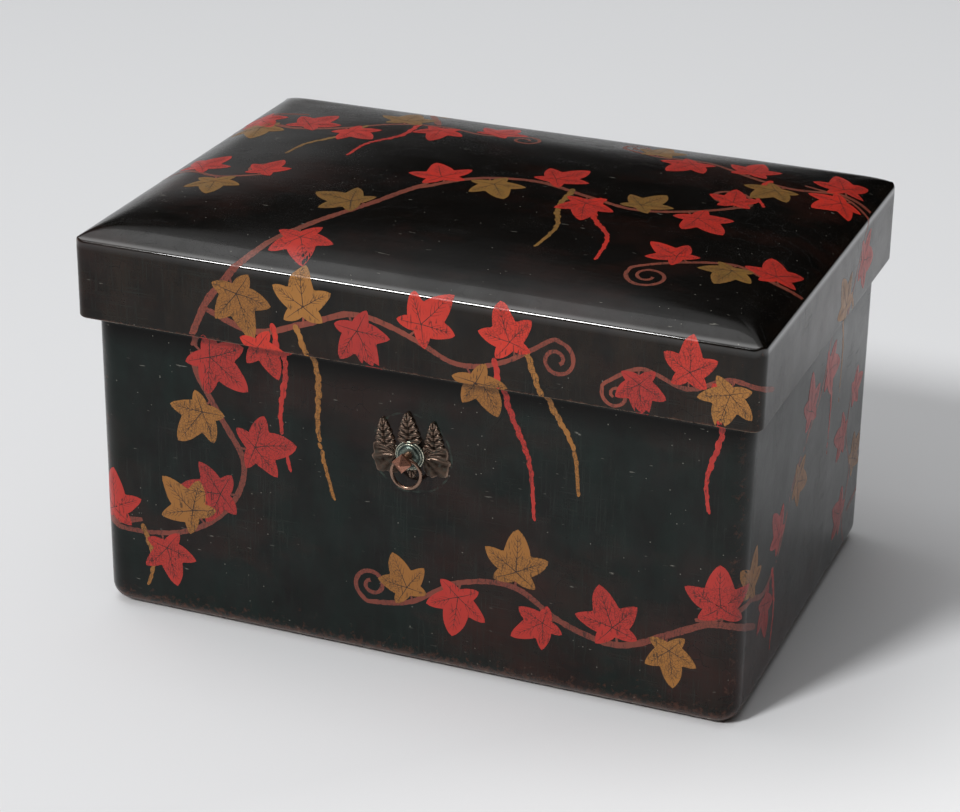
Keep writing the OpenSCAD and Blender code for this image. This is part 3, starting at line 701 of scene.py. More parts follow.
def metalMaterial(name, deep, bright, patina, share, roughness):
    material, tree, shader, place = newMaterial(name, **{"Metallic": 1.0})
    relief = addNode(tree, "ShaderNodeAttribute", attribute_name="relief").outputs["Fac"]
    sharp = addNode(tree, "ShaderNodeNewGeometry").outputs["Pointiness"]
    cloud = noise(tree, place, 420.0, 5.0, 0.65)
    grain = noise(tree, place, 1500.0, 3.0, 0.6)
    # lighter on sharp edges and raised parts, near-black in the hollows: rubbed high points with painted highlights,
    # and painted shade in the hollows
    high = mathNode(tree, "ADD", remap(tree, sharp, 0.50, 0.60, 0.0, 0.7), mathNode(tree, "MULTIPLY", cloud, 0.4))
    high = mathNode(tree, "ADD", high, relief, clamp=True)
    color = mixColor(tree, remap(tree, high, 0.15, 0.85), (*deep, 1), (*bright, 1))
    stain = remap(tree, cloud, 0.62 - share, 0.75 - share)
    color = mixColor(tree, mathNode(tree, "MULTIPLY", stain, 0.75), color, (*patina, 1))
    # pale specks on the raised parts are painted glints
    glint = remap(tree, mathNode(tree, "MULTIPLY", relief, grain), 0.42, 0.50)
    color = mixColor(tree, glint, color, (0.80, 0.76, 0.60, 1))
    tree.links.new(color, shader.inputs["Base Color"])
    tree.links.new(mathNode(tree, "SUBTRACT", 1.0, mathNode(tree, "MULTIPLY", stain, 0.35)),
                   shader.inputs["Metallic"])
    tree.links.new(remap(tree, grain, 0.3, 0.7, roughness - 0.08, roughness + 0.12), shader.inputs["Roughness"])
    bumpInto(tree, shader, mathNode(tree, "ADD", cloud, mathNode(tree, "MULTIPLY", grain, 0.4)), 0.5, 0.00012)
    return material


def woodMaterial(name, light, dark, scale):
    material, tree, shader, place = newMaterial(name)
    grain = noise(tree, place, scale, 6.0, 0.65, stretch=(0.12, 1.0, 1.0))
    rings = noise(tree, place, scale * 4.0, 3.0, 0.5, stretch=(0.06, 1.0, 1.0))
    color = mixColor(tree, remap(tree, grain, 0.3, 0.7), (*light, 1), (*dark, 1))
    color = mixColor(tree, mathNode(tree, "MULTIPLY", rings, 0.35), color, (*dark, 1))
    tree.links.new(color, shader.inputs["Base Color"])
    tree.links.new(remap(tree, rings, 0.2, 0.8, 0.5, 0.7), shader.inputs["Roughness"])
    bumpInto(tree, shader, rings, 0.4, 0.0002)
    return material


agedLacquer = lacquerMaterial(lacquerLook)
insideLacquer = liningMaterial()
vermilion = paintMaterial("vermilionPaint", (0.52, 0.026, 0.010), (0.29, 0.015, 0.012), (0.52, 0.024, 0.009))
ochre = paintMaterial("ochrePaint", (0.33, 0.140, 0.026), (0.24, 0.092, 0.014), (0.125, 0.088, 0.022))
stemPaint = paintMaterial("stemPaint", (0.25, 0.050, 0.026), (0.13, 0.026, 0.016), (0.20, 0.050, 0.026))
inkLine = paintMaterial("inkLine", (0.030, 0.010, 0.007), (0.012, 0.006, 0.005), (0.02, 0.008, 0.006), 0.4)
bronze = metalMaterial("brownBronze", (0.007, 0.005, 0.004), (0.27, 0.185, 0.140), (0.022, 0.026, 0.019), 0.12, 0.36)
ringBronze = metalMaterial("ringBronze", (0.045, 0.026, 0.019), (0.30, 0.19, 0.14), (0.05, 0.042, 0.036), 0.06, 0.25)
copper = metalMaterial("rubbedCopper", (0.22, 0.085, 0.055), (0.60, 0.29, 0.20), (0.12, 0.070, 0.060), 0.05, 0.30)
greenBronze = metalMaterial("greenBronze", (0.008, 0.016, 0.015), (0.17, 0.20, 0.17), (0.016, 0.030, 0.027), 0.16, 0.32)
softwood = woodMaterial("planedSoftwood", (0.62, 0.47, 0.30), (0.48, 0.33, 0.19), 60.0)
bamboo = woodMaterial("splitBamboo", (0.66, 0.54, 0.34), (0.54, 0.41, 0.23), 130.0)
print("materials made")

slotMaterials = dict(wood=softwood, bamboo=bamboo, lacquer=agedLacquer, lining=insideLacquer,
                     bronze=bronze, copper=copper, green_bronze=greenBronze)
for part in frame["record"]["subparts"]:
    node = frame["nodes"][part["node"]]
    node.data.materials.clear()
    node.data.materials.append(slotMaterials[part["material_slot"]])

makeObject("lid_lacquer", makeLidShell(), [agedLacquer], "lid", ["lid_lacquer_skin"])
makeObject("lid_crown_board", makeCrownBoard(), [softwood], "lid", ["lid_top_board"])
makeObject("body_lacquer", makeBodyShell(), [agedLacquer], "root", ["body_lacquer_skin"])
print("lacquered shells made")


# where the painting lies: along = metres to the right of a side's middle, up = height, and past the ridge the way
# goes on over the crown towards the middle of the lid
sides = dict(front=(0, "halfX", "halfY"), right=(1, "halfY", "halfX"),
             back=(2, "halfX", "halfY"), left=(3, "halfY", "halfX"))


def sidePoint(side, shape, along, out, z):
    turn = sides[side][0]
    x, y = [(along, -out), (out, along), (-along, out), (-out, -along)][turn]
    return x, y, z


def wallPoint(side, shape, along, z, inset):
    half, deep = shape[sides[side][1]] - inset, shape[sides[side][2]] - inset
    corner = shape["corner"] - inset
    shrink = np.zeros_like(z)
    if shape is bodyShape:
        radius = shape["bottomEdge"] - inset
        rise = np.clip(shape["bottomEdge"] - z, 0, radius)
        shrink = radius - np.sqrt(radius ** 2 - rise ** 2)
    else:
        rise = np.clip(shape["bottom"] + shape["lowerEdge"] - z, 0, shape["lowerEdge"])
        shrink = shape["lowerEdge"] - np.sqrt(shape["lowerEdge"] ** 2 - rise ** 2)
    flat = half - corner
    over = np.maximum(np.abs(along) - flat, 0)
    angle = np.minimum(over / corner, math.pi / 2)
    beyond = np.maximum(over - corner * math.pi / 2, 0)
    r = corner - shrink
    a = np.sign(along) * (np.minimum(np.abs(along), flat) + r * np.sin(angle))
    out = deep - corner + r * np.cos(angle) - beyond
    x, y, z = sidePoint(side, shape, a, out, z)
    low = shape.get("bottom", shape.get("bottomEdge", 0))
    high = crown["ridge"] if shape is lidShape else shape["top"]
    fade = smoothStep((z - low) / coat["waveFade"]) * smoothStep((high - z) / coat["waveFade"])
    shift = handWave(x, y, z) * fade
    nx, ny, _ = sidePoint(side, shape, np.sign(along) * np.sin(angle), np.cos(angle), z)
    return np.stack([x + nx * shift, y + ny * shift, z], 1)


def ridgeTurn(side, inset):
    # the height where wall and crown would meet, the angle between them and how far their rounding reaches
    half = lidShape[sides[side][2]]
    bend = math.pi / 2 - crown["shoulderAngle"]
    return float(crownProfile(half, half - inset, inset)), bend, lidShape["ridgeRound"] * math.tan(bend / 2)


def crownRun(side, way, inset):
    # how far inwards a way of this length over the crown reaches
    half = lidShape[sides[side][2]]
    depth = np.concatenate([np.linspace(0, 0.03, 200), np.linspace(0.0305, half, 200)])
    height = crownProfile(half, half - inset - depth, inset)
    run = np.concatenate([[0], np.cumsum(np.hypot(np.diff(depth), np.diff(height)))])
    return np.interp(way, run, depth)


def paintedPoint(side, body, along, up, inset):
    if side == "top":
        return np.stack([along, up, crownHeight(along, up, inset)], 1)
    if body == "root":
        return wallPoint(side, bodyShape, along, up, inset)
    meet, bend, run = ridgeTurn(side, inset)
    angle = bend * np.clip((up - meet + run) / (2 * run), 0, 1)
    z = np.where(up < meet - run, up, meet - run + lidShape["ridgeRound"] * np.sin(angle))
    onWall = wallPoint(side, lidShape, along, z, inset + lidShape["ridgeRound"] * (1 - np.cos(angle)))
    depth = crownRun(side, np.maximum(up - meet, 0), inset)
    x, y, _ = sidePoint(side, lidShape, along, lidShape[sides[side][2]] - inset - depth, 0)
    onCrown = np.stack([x, y, crownHeight(x, y, inset)], 1)
    return np.where((up > meet + run)[:, None], onCrown, onWall)


def wrapOnto(side, body, flat):
    # flat points carry their height above the lacquer as z
    inset, step = coat["inset"], 0.2 * mm
    a, u = flat[:, 0], flat[:, 1]
    base = paintedPoint(side, body, a, u, inset)
    across = paintedPoint(side, body, a + step, u, inset) - paintedPoint(side, body, a - step, u, inset)
    upwards = paintedPoint(side, body, a, u + step, inset) - paintedPoint(side, body, a, u - step, inset)
    normal = np.cross(across, upwards)
    normal /= np.maximum(np.linalg.norm(normal, axis=1), 1e-12)[:, None]
    return base + normal * flat[:, 2:3]


# Geometry Nodes trees for the painting: each draws flat, in along and up, and the result is then wrapped round the box
def newTree(name, inputs):
    tree = bpy.data.node_groups.new(name, "GeometryNodeTree")
    tree.interface.new_socket("Geometry", in_out="INPUT", socket_type="NodeSocketGeometry")
    for label, kind, value in inputs:
        socket = tree.interface.new_socket(label, in_out="INPUT", socket_type="NodeSocket" + kind)
        if value is not None:
            socket.default_value = value
    tree.interface.new_socket("Geometry", in_out="OUTPUT", socket_type="NodeSocketGeometry")
    return tree, tree.nodes.new("NodeGroupInput").outputs, tree.nodes.new("NodeGroupOutput")


def finishTree(tree, geometry, material, end):
    real = addNode(tree, "GeometryNodeRealizeInstances", {0: geometry}).outputs[0]
    painted = addNode(tree, "GeometryNodeSetMaterial", {"Geometry": real, "Material": material}).outputs[0]
    tree.links.new(painted, end.inputs[0])


def randomValue(tree, low, high, seed, offset=0):
    shifted = mathNode(tree, "ADD", seed, float(offset))
    return addNode(tree, "FunctionNodeRandomValue", {2: low, 3: high, "Seed": shifted}, data_type="FLOAT").outputs[1]


def strokeTree():
    tree, given, end = newTree("brushStrokes", [
        ("Step", "Float", 0.002), ("Wobble", "Float", 0.0006), ("Thinning", "Float", 0.5),
        ("Height", "Float", 0.00004), ("Paint", "Material", None),
    ])
    line = addNode(tree, "GeometryNodeResampleCurve", {"Curve": given["Geometry"], "Length": given["Step"]},
                   mode="LENGTH").outputs[0]
    place = addNode(tree, "GeometryNodeInputPosition").outputs[0]
    cloud = addNode(tree, "ShaderNodeTexNoise", {"Vector": place, "Scale": 45.0, "Detail": 2.0}).outputs["Color"]
    centred = addNode(tree, "ShaderNodeVectorMath", {0: cloud, 1: (0.5, 0.5, 0.5)}, operation="SUBTRACT").outputs[0]
    flatOnly = addNode(tree, "ShaderNodeVectorMath", {0: centred, 1: (1, 1, 0)}, operation="MULTIPLY").outputs[0]
    offset = addNode(tree, "ShaderNodeVectorMath", {0: flatOnly, "Scale": given["Wobble"]}, operation="SCALE").outputs[0]
    line = addNode(tree, "GeometryNodeSetPosition", {"Geometry": line, "Offset": offset}).outputs[0]
    factor = addNode(tree, "GeometryNodeSplineParameter").outputs["Factor"]
    radius = addNode(tree, "GeometryNodeInputRadius").outputs[0]
    taper = mathNode(tree, "SUBTRACT", 1.0, mathNode(tree, "MULTIPLY", factor, given["Thinning"]))
    taper = mathNode(tree, "MULTIPLY", taper, remap(tree, factor, 0.0, 0.02, 0.5, 1.0))
    bristle = addNode(tree, "ShaderNodeTexNoise", {"Vector": place, "Scale": 420.0, "Detail": 2.0}).outputs["Fac"]
    uneven = remap(tree, bristle, 0.25, 0.75, 0.76, 1.2)
    width = mathNode(tree, "MULTIPLY", mathNode(tree, "MULTIPLY", radius, taper), uneven)
    line = addNode(tree, "GeometryNodeSetCurveNormal", {"Curve": line}, mode="Z_UP").outputs[0]
    across = addNode(tree, "GeometryNodeCurvePrimitiveLine", {"Start": (-1, 0, 0), "End": (1, 0, 0)}).outputs[0]
    ribbon = addNode(tree, "GeometryNodeCurveToMesh", {
        "Curve": line, "Profile Curve": across, "Scale": width}).outputs[0]
    lift = addNode(tree, "ShaderNodeCombineXYZ", {"Z": given["Height"]}).outputs[0]
    ribbon = addNode(tree, "GeometryNodeSetPosition", {"Geometry": ribbon, "Offset": lift}).outputs[0]
    ribbon = addNode(tree, "GeometryNodeStoreNamedAttribute", {
        "Geometry": ribbon, "Name": "shade", "Value": randomShade(tree)}, data_type="FLOAT", domain="POINT").outputs[0]
    finishTree(tree, ribbon, given["Paint"], end)
    return tree


def randomShade(tree):
    place = addNode(tree, "GeometryNodeInputPosition").outputs[0]
    return addNode(tree, "ShaderNodeTexNoise", {"Vector": place, "Scale": 25.0}).outputs["Fac"]


def named(tree, name):
    return addNode(tree, "GeometryNodeInputNamedAttribute", {"Name": name}, data_type="FLOAT").outputs[0]


def leafTree():
    # the points carry where each leaf turns, how large it is, its paint and its shade
    tree, given, end = newTree("leavesOnStems", [
        ("Leaf", "Object", None), ("Paint Number", "Float", 0.0), ("Height", "Float", 0.00005),
        ("Wobble", "Float", 0.002), ("Paint", "Material", None),
    ])
    index = addNode(tree, "GeometryNodeInputIndex").outputs[0]
    level = mathNode(tree, "MULTIPLY", mathNode(tree, "MODULO", index, 6.0), 0.000006)
    lift = addNode(tree, "ShaderNodeCombineXYZ", {"Z": mathNode(tree, "ADD", level, given["Height"])}).outputs[0]
    points = addNode(tree, "GeometryNodeSetPosition", {"Geometry": given["Geometry"], "Offset": lift}).outputs[0]
    chosen = mathNode(tree, "MAXIMUM", mathNode(tree, "COMPARE", named(tree, "paint"), given["Paint Number"], 0.5),
                      mathNode(tree, "LESS_THAN", given["Paint Number"], 0.0))
    turn = addNode(tree, "ShaderNodeCombineXYZ", {"Z": named(tree, "turn")}).outputs[0]
    turn = addNode(tree, "FunctionNodeEulerToRotation", {0: turn}).outputs[0]
    size = addNode(tree, "ShaderNodeCombineXYZ", {
        "X": mathNode(tree, "MULTIPLY", named(tree, "size"), named(tree, "breadth")), "Y": named(tree, "size"),
        "Z": 1.0}).outputs[0]
    leaf = addNode(tree, "GeometryNodeObjectInfo", {"Object": given["Leaf"]}).outputs["Geometry"]
    shown = addNode(tree, "GeometryNodeInstanceOnPoints", {
        "Points": points, "Selection": chosen, "Instance": leaf, "Rotation": turn, "Scale": size}).outputs[0]
    real = addNode(tree, "GeometryNodeRealizeInstances", {0: shown}).outputs[0]
    place = addNode(tree, "GeometryNodeInputPosition").outputs[0]
    cloud = addNode(tree, "ShaderNodeTexNoise", {"Vector": place, "Scale": 48.0, "Detail": 1.0}).outputs["Color"]
    centred = addNode(tree, "ShaderNodeVectorMath", {0: cloud, 1: (0.5, 0.5, 0.5)}, operation="SUBTRACT").outputs[0]
    flatOnly = addNode(tree, "ShaderNodeVectorMath", {0: centred, 1: (1, 1, 0)}, operation="MULTIPLY").outputs[0]
    offset = addNode(tree, "ShaderNodeVectorMath", {0: flatOnly, "Scale": given["Wobble"]}, operation="SCALE").outputs[0]
    bent = addNode(tree, "GeometryNodeSetPosition", {"Geometry": real, "Offset": offset}).outputs[0]
    finishTree(tree, bent, given["Paint"], end)
    return tree


def berryTree():
    # oval seeds strung closely along a line, smaller towards its end
    tree, given, end = newTree("seedStrings", [
        ("Pitch", "Float", 0.004), ("Size", "Float", 0.0018), ("Height", "Float", 0.00006),
        ("Seed", "Int", 1), ("Paint", "Material", None),
    ])
    line = addNode(tree, "GeometryNodeResampleCurve", {"Curve": given["Geometry"], "Length": given["Pitch"]},
                   mode="LENGTH").outputs[0]
    factor = addNode(tree, "GeometryNodeSplineParameter").outputs["Factor"]
    kept = addNode(tree, "GeometryNodeCaptureAttribute", {0: line})
    kept.capture_items.new("FLOAT", "Factor")
    tree.links.new(factor, kept.inputs[1])
    spread = addNode(tree, "GeometryNodeCurveToPoints", {"Curve": kept.outputs[0]}, mode="EVALUATED").outputs
    index = addNode(tree, "GeometryNodeInputIndex").outputs[0]
    side = mathNode(tree, "SUBTRACT", mathNode(tree, "MODULO", index, 2.0), 0.5)
    side = mathNode(tree, "MULTIPLY", side, mathNode(tree, "MULTIPLY", given["Size"], 0.30))
    level = mathNode(tree, "MULTIPLY", mathNode(tree, "MODULO", index, 3.0), 0.000005)
    offset = addNode(tree, "ShaderNodeCombineXYZ", {
        "X": side, "Z": mathNode(tree, "ADD", given["Height"], level)}).outputs[0]
    points = addNode(tree, "GeometryNodeSetPosition", {"Geometry": spread["Points"], "Offset": offset}).outputs[0]
    parts = addNode(tree, "ShaderNodeSeparateXYZ", {0: spread["Tangent"]}).outputs
    heading = mathNode(tree, "ARCTAN2", parts["Y"], parts["X"])
    turn = addNode(tree, "ShaderNodeCombineXYZ", {
        "Z": mathNode(tree, "ADD", heading, randomValue(tree, -0.22, 0.22, given["Seed"], 9))}).outputs[0]
    turn = addNode(tree, "FunctionNodeEulerToRotation", {0: turn}).outputs[0]
    taper = remap(tree, kept.outputs[1], 0.45, 1.0, 1.0, 0.5)
    size = mathNode(tree, "MULTIPLY", mathNode(tree, "MULTIPLY", given["Size"], taper),
                    randomValue(tree, 0.82, 1.12, given["Seed"]))
    long = mathNode(tree, "MULTIPLY", size, 1.75)
    size = addNode(tree, "ShaderNodeCombineXYZ", {"X": long, "Y": size, "Z": 1.0}).outputs[0]
    berry = addNode(tree, "GeometryNodeMeshCircle", {"Vertices": 14, "Radius": 1.0}, fill_type="NGON").outputs[0]
    shown = addNode(tree, "GeometryNodeInstanceOnPoints", {
        "Points": points, "Instance": berry, "Rotation": turn, "Scale": size}).outputs[0]
    shown = addNode(tree, "GeometryNodeStoreNamedAttribute", {
        "Geometry": shown, "Name": "shade", "Value": randomValue(tree, 0.0, 0.7, given["Seed"], 5)},
        data_type="FLOAT", domain="INSTANCE").outputs[0]
    finishTree(tree, shown, given["Paint"], end)
    return tree


strokes, leaves, seeds = strokeTree(), leafTree(), berryTree()


def grow(source, tree, values):
    # runs a tree on a curve object and gives back points, faces and shades; the modifier goes again
    modifier = source.modifiers.new("paint", "NODES")
    modifier.node_group = tree
    for item in tree.interface.items_tree:
        if item.item_type == "SOCKET" and item.in_out == "INPUT" and item.name in values:
            modifier[item.identifier] = values[item.name]
    graph = bpy.context.evaluated_depsgraph_get()
    mesh = bpy.data.meshes.new_from_object(source.evaluated_get(graph))
    source.modifiers.remove(modifier)
    return mesh


# the leaf: five pointed lobes round the end of its stalk, in units of the longest lobe
ivyLeaf = dict(
    lobes=((0, 1.0, 40), (60, 0.80, 37), (-60, 0.80, 37), (125, 0.56, 42), (-125, 0.56, 42)),  # angle, length, spread
    stalk=0.40, rings=5, angles=72, veinWidth=0.019, stalkWidth=0.034,
)


def lobeLength(angle):
    best = 0
    for centre, length, spread in ivyLeaf["lobes"]:
        away = abs((angle - centre + 180) % 360 - 180) / spread
        best = max(best, length / (1 + 1.1 * away ** 1.35))
    return best


def flatMesh(name, points, faces):
    mesh = bpy.data.meshes.new(name)
    mesh.from_pydata(points, [], faces)
    thing = bpy.data.objects.new(name, mesh)
    return thing  # never linked to the scene: only the trees read it


def leafBlade():
    points, faces = [(0, ivyLeaf["stalk"], 0)], []
    count = ivyLeaf["angles"]
    for ring in range(1, ivyLeaf["rings"] + 1):
        for k in range(count):
            angle = 360 * k / count
            r = lobeLength(angle) * ring / ivyLeaf["rings"]
            points.append((r * math.sin(math.radians(angle)), ivyLeaf["stalk"] + r * math.cos(math.radians(angle)), 0))
    for k in range(count):
        n = (k + 1) % count
        faces.append((0, 1 + n, 1 + k))
        for ring in range(ivyLeaf["rings"] - 1):
            a, b = 1 + ring * count, 1 + (ring + 1) * count
            faces.append((a + k, a + n, b + n, b + k))
    return flatMesh("ivyBlade", points, faces)


def addStroke(points, faces, start, heading, length, widthStart, widthEnd, z, bend=0.0, parts=4):
    base = len(points)
    for i in range(parts + 1):
        f = i / parts
        turned = math.radians(heading + bend * f)
        x = start[0] + length * f * math.sin(turned)
        y = start[1] + length * f * math.cos(turned)
        w = (widthStart + (widthEnd - widthStart) * f) / 2
        points.append((x - w * math.cos(turned), y + w * math.sin(turned), z))
        points.append((x + w * math.cos(turned), y - w * math.sin(turned), z))
    for i in range(parts):
        a = base + 2 * i
        faces.append((a, a + 1, a + 3, a + 2))


def leafVeins():
    points, faces = [], []
    width = ivyLeaf["veinWidth"]
    for centre, length, _ in ivyLeaf["lobes"]:
        root = (0, ivyLeaf["stalk"])
        addStroke(points, faces, root, centre, length * 0.86, width, width * 0.35, 0.00001)
        if length < 0.6:
            continue
        for share in (0.28, 0.42, 0.56, 0.70):
            turned = math.radians(centre)
            start = (length * share * math.sin(turned), ivyLeaf["stalk"] + length * share * math.cos(turned))
            for side in (-1, 1):
                addStroke(points, faces, start, centre + side * 40, length * (0.34 - 0.28 * share),
                          width * 0.6, width * 0.25, 0.00001, bend=-side * 10, parts=2)
    return flatMesh("ivyVeins", points, faces)


def leafStalk():
    points, faces = [], []
    addStroke(points, faces, (0, 0), 12, ivyLeaf["stalk"] * 1.02, ivyLeaf["stalkWidth"] * 1.7,
              ivyLeaf["stalkWidth"], 0.0, bend=-12, parts=5)
    return flatMesh("ivyStalk", points, faces)


ivyBlade, ivyVeins, ivyStalk = leafBlade(), leafVeins(), leafStalk()


def smoothLine(points, count=10):
    # an even curve through all the points
    p = np.array([points[0]] + list(points) + [points[-1]], float)
    rows = []
    for i in range(len(p) - 3):
        a, b, c, d = p[i:i + 4]
        for f in np.arange(count) / count:
            rows.append(0.5 * (2 * b + (c - a) * f + (2 * a - 5 * b + 4 * c - d) * f ** 2
                               + (3 * b - a - 3 * c + d) * f ** 3))
    rows.append(p[-1])
    return np.array(rows)


def withTendril(points, radius, turns, side):
    # carries a stem on into a curl that tightens; side 1 curls to the left
    line = [tuple(p) for p in points]
    (x0, y0), (x1, y1) = line[-2], line[-1]
    heading = math.atan2(y1 - y0, x1 - x0)
    x, y = x1, y1
    steps = int(turns * 12)
    for i in range(steps):
        r = radius * (1 - 0.80 * i / steps)
        heading += side * 2 * math.pi / 12
        x += r * 2 * math.pi / 12 * math.cos(heading)
        y += r * 2 * math.pi / 12 * math.sin(heading)
        line.append((x, y))
    return line


# the trailing ivy: places are millimetres to the right of each side's middle and above the floor; over the lid's
# ridge the second number runs on across the crown, and on the top both count from the lid's middle
# a leaf: where it leaves the stem, counted in points of the line, the side and angle of its stalk, its size, paint
red, gold = 0, 1
vines = dict(
    front=[
        dict(line=[(-40, 394), (-62, 346), (-90, 300), (-108, 262), (-134, 226), (-146, 186), (-128, 150),
                   (-112, 118), (-126, 84), (-160, 62), (-205, 58), (-246, 72)], width=5.6, curl=None,
             leaves=[(1.0, -70, 29, gold), (1.9, 62, 31, red), (3.3, 66, 32, gold), (4.7, 62, 33, red),
                     (5.7, -72, 29, gold), (6.6, 70, 30, red), (7.6, -62, 31, red), (8.5, -70, 30, gold),
                     (9.3, 100, 27, red), (10.1, -84, 29, red)]),
        dict(line=[(-134, 226), (-100, 216), (-66, 226), (-32, 238), (4, 230), (36, 217), (66, 224), (94, 242)],
             width=4.4, curl=(12, 1.5, -1),
             leaves=[(1.0, -72, 26, red), (2.0, 66, 29, gold), (2.9, -72, 29, red), (4.0, 72, 30, red),
                     (5.2, -66, 27, gold), (6.2, 74, 27, red)]),
        dict(line=[(246, 56), (205, 72), (172, 58), (140, 44), (104, 52), (72, 70), (36, 66), (4, 46), (-24, 40)],
             width=5.0, curl=(12, 1.5, -1),
             leaves=[(1.0, -84, 29, red), (2.0, 70, 26, gold), (3.0, -80, 30, red), (4.1, 62, 25, red),
                     (5.0, -76, 29, gold), (6.0, 66, 28, red), (7.0, -80, 25, gold)]),
        dict(line=[(246, 224), (208, 236), (180, 226), (152, 234), (130, 222)], width=3.6, curl=(9, 1.4, 1),
             leaves=[(1.0, 78, 24, gold), (2.0, -82, 26, red), (3.1, 74, 23, red)]),
    ],
    top=[
        dict(line=[(-42, -32), (-14, -2), (24, 8), (62, -4), (98, -12), (130, 4), (156, 30)], width=4.6,
             curl=(15, 1.5, 1),
             leaves=[(0.5, 74, 28, red), (1.2, -72, 28, gold), (2.1, 70, 29, red), (3.0, -66, 30, red),
                     (3.9, 74, 26, gold), (4.9, -74, 29, red), (5.7, 60, 25, red)]),
        dict(line=[(-250, 58), (-206, 72), (-172, 62), (-140, 70), (-110, 92), (-78, 100), (-46, 92), (-20, 104)],
             width=4.0, curl=(11, 1.4, -1),
             leaves=[(1.1, -74, 26, gold), (2.0, 74, 28, red), (3.0, -70, 26, red), (4.1, 70, 28, gold),
                     (5.0, -74, 28, red), (6.1, 66, 25, red)]),
        dict(line=[(250, 84), (206, 92), (172, 80), (140, 88), (108, 104), (76, 100), (50, 110)], width=4.0,
             curl=(10, 1.4, -1),
             leaves=[(1.0, -74, 27, red), (2.1, 74, 25, gold), (3.0, -72, 26, red), (4.1, 66, 27, red),
                     (5.1, -70, 25, gold)]),
        dict(line=[(250, -64), (208, -74), (180, -64), (152, -76), (126, -94)], width=3.8, curl=(14, 1.7, 1),
             leaves=[(1.0, -70, 26, red), (2.0, 72, 24, gold), (3.0, -70, 25, red)]),
        dict(line=[(-250, -46), (-208, -36), (-178, -46), (-150, -38)], width=3.6, curl=(12, 1.6, 1),
             leaves=[(1.1, 74, 26, red), (2.0, -74, 25, gold), (2.8, 66, 23, red)]),
    ],
    right=[
        dict(line=[(-170, 72), (-132, 82), (-98, 72), (-66, 88), (-44, 120), (-14, 142), (18, 164), (36, 200),
                   (60, 232), (84, 264), (92, 306)], width=4.4, curl=None,
             leaves=[(1.0, 70, 26, gold), (2.0, -78, 27, red), (3.1, 74, 27, red), (4.1, -70, 26, gold),
                     (5.2, 70, 28, red), (6.2, -68, 27, red), (7.2, 66, 27, gold), (8.1, -70, 27, red),
                     (9.2, 66, 26, red)]),
        dict(line=[(122, -12), (98, 30), (108, 66), (92, 98), (100, 128)], width=3.6, curl=(10, 1.5, -1),
             leaves=[(1.1, 62, 25, red), (2.0, -66, 25, gold), (3.0, 68, 25, red), (3.8, -62, 22, red)]),
    ],
    left=[
        dict(line=[(172, 66), (120, 58), (88, 76), (60, 108), (28, 116), (2, 148), (-26, 176), (-38, 214),
                   (-66, 236), (-90, 264), (-96, 306)], width=4.6, curl=None,
             leaves=[(1.0, -70, 27, red), (2.0, 70, 27, gold), (3.0, -72, 28, red), (4.1, 72, 27, red),
                     (5.1, -68, 28, gold), (6.1, 68, 27, red), (7.1, -70, 27, red), (8.1, 72, 26, gold),
                     (9.1, -66, 27, red)]),
        dict(line=[(-128, -10), (-104, 36), (-76, 58), (-48, 50)], width=3.6, curl=(11, 1.5, 1),
             leaves=[(1.1, 66, 25, gold), (2.0, -70, 25, red), (2.8, 70, 23, red)]),
    ],
    back=[
        dict(line=[(84, 312), (106, 272), (124, 234), (146, 198), (130, 162), (104, 134), (112, 100),
                   (142, 74), (178, 60)], width=5.2, curl=(12, 1.5, 1),
             leaves=[(0.9, -66, 29, gold), (2.2, -70, 28, red), (3.3, 66, 30, red),
                     (4.3, -74, 28, gold), (5.3, 66, 29, red), (6.2, -66, 27, red), (7.2, 70, 28, gold)]),
        dict(line=[(124, 234), (90, 222), (56, 232), (22, 222), (-12, 232), (-40, 222)], width=4.2, curl=(11, 1.4, 1),
             leaves=[(1.1, 70, 26, red), (2.0, -72, 27, gold), (3.0, 70, 26, red), (4.0, -70, 27, red)]),
        dict(line=[(-250, 34), (-206, 46), (-174, 64), (-140, 52), (-106, 66), (-72, 52)], width=4.4,
             curl=(12, 1.5, 1),
             leaves=[(1.1, 72, 28, red), (2.0, -72, 27, gold), (3.0, 70, 28, red), (4.0, -70, 27, red)]),
    ],
)
seedLines = dict(
    front=[
        (red, [(-86, 220), (-82, 190), (-86, 156), (-80, 122)]),
        (gold, [(-70, 222), (-60, 190), (-60, 150), (-50, 108)]),
        (red, [(60, 222), (66, 192), (80, 158), (84, 120)]),
        (gold, [(80, 232), (92, 200), (108, 172), (112, 142)]),
        (red, [(196, 230), (200, 200), (192, 168), (194, 146)]),
        (gold, [(-186, 60), (-180, 38), (-184, 20)]),
    ],
    top=[
        (red, [(72, -6), (78, -36), (96, -62), (100, -94)]),
        (gold, [(50, 2), (52, -30), (62, -60), (60, -90)]),
        (gold, [(-128, 78), (-134, 52), (-150, 30), (-154, 8)]),
        (red, [(-96, 96), (-96, 66), (-110, 40), (-112, 14)]),
        (red, [(156, 84), (154, 60), (166, 38)]),
    ],
    right=[
        (red, [(28, 182), (42, 150), (40, 108)]),
        (gold, [(48, 216), (64, 180), (64, 136)]),
        (red, [(-80, 78), (-72, 50), (-76, 22)]),
    ],
    left=[
        (gold, [(-34, 200), (-46, 162), (-42, 120)]),
        (red, [(-54, 228), (-72, 188), (-72, 142)]),
    ],
    back=[
        (red, [(66, 228), (60, 192), (64, 154), (56, 118)]),
        (gold, [(44, 228), (36, 194), (40, 154)]),
        (red, [(-122, 58), (-116, 36), (-118, 16)]),
    ],
)
paintCoats = dict(  # height of each coat above the lacquer
    stems=0.030 * mm, stalks=0.036 * mm, seeds=0.045 * mm, leaves=0.050 * mm, veins=0.058 * mm,
    sunk=0.05 * mm, gap=0.35 * mm,
)


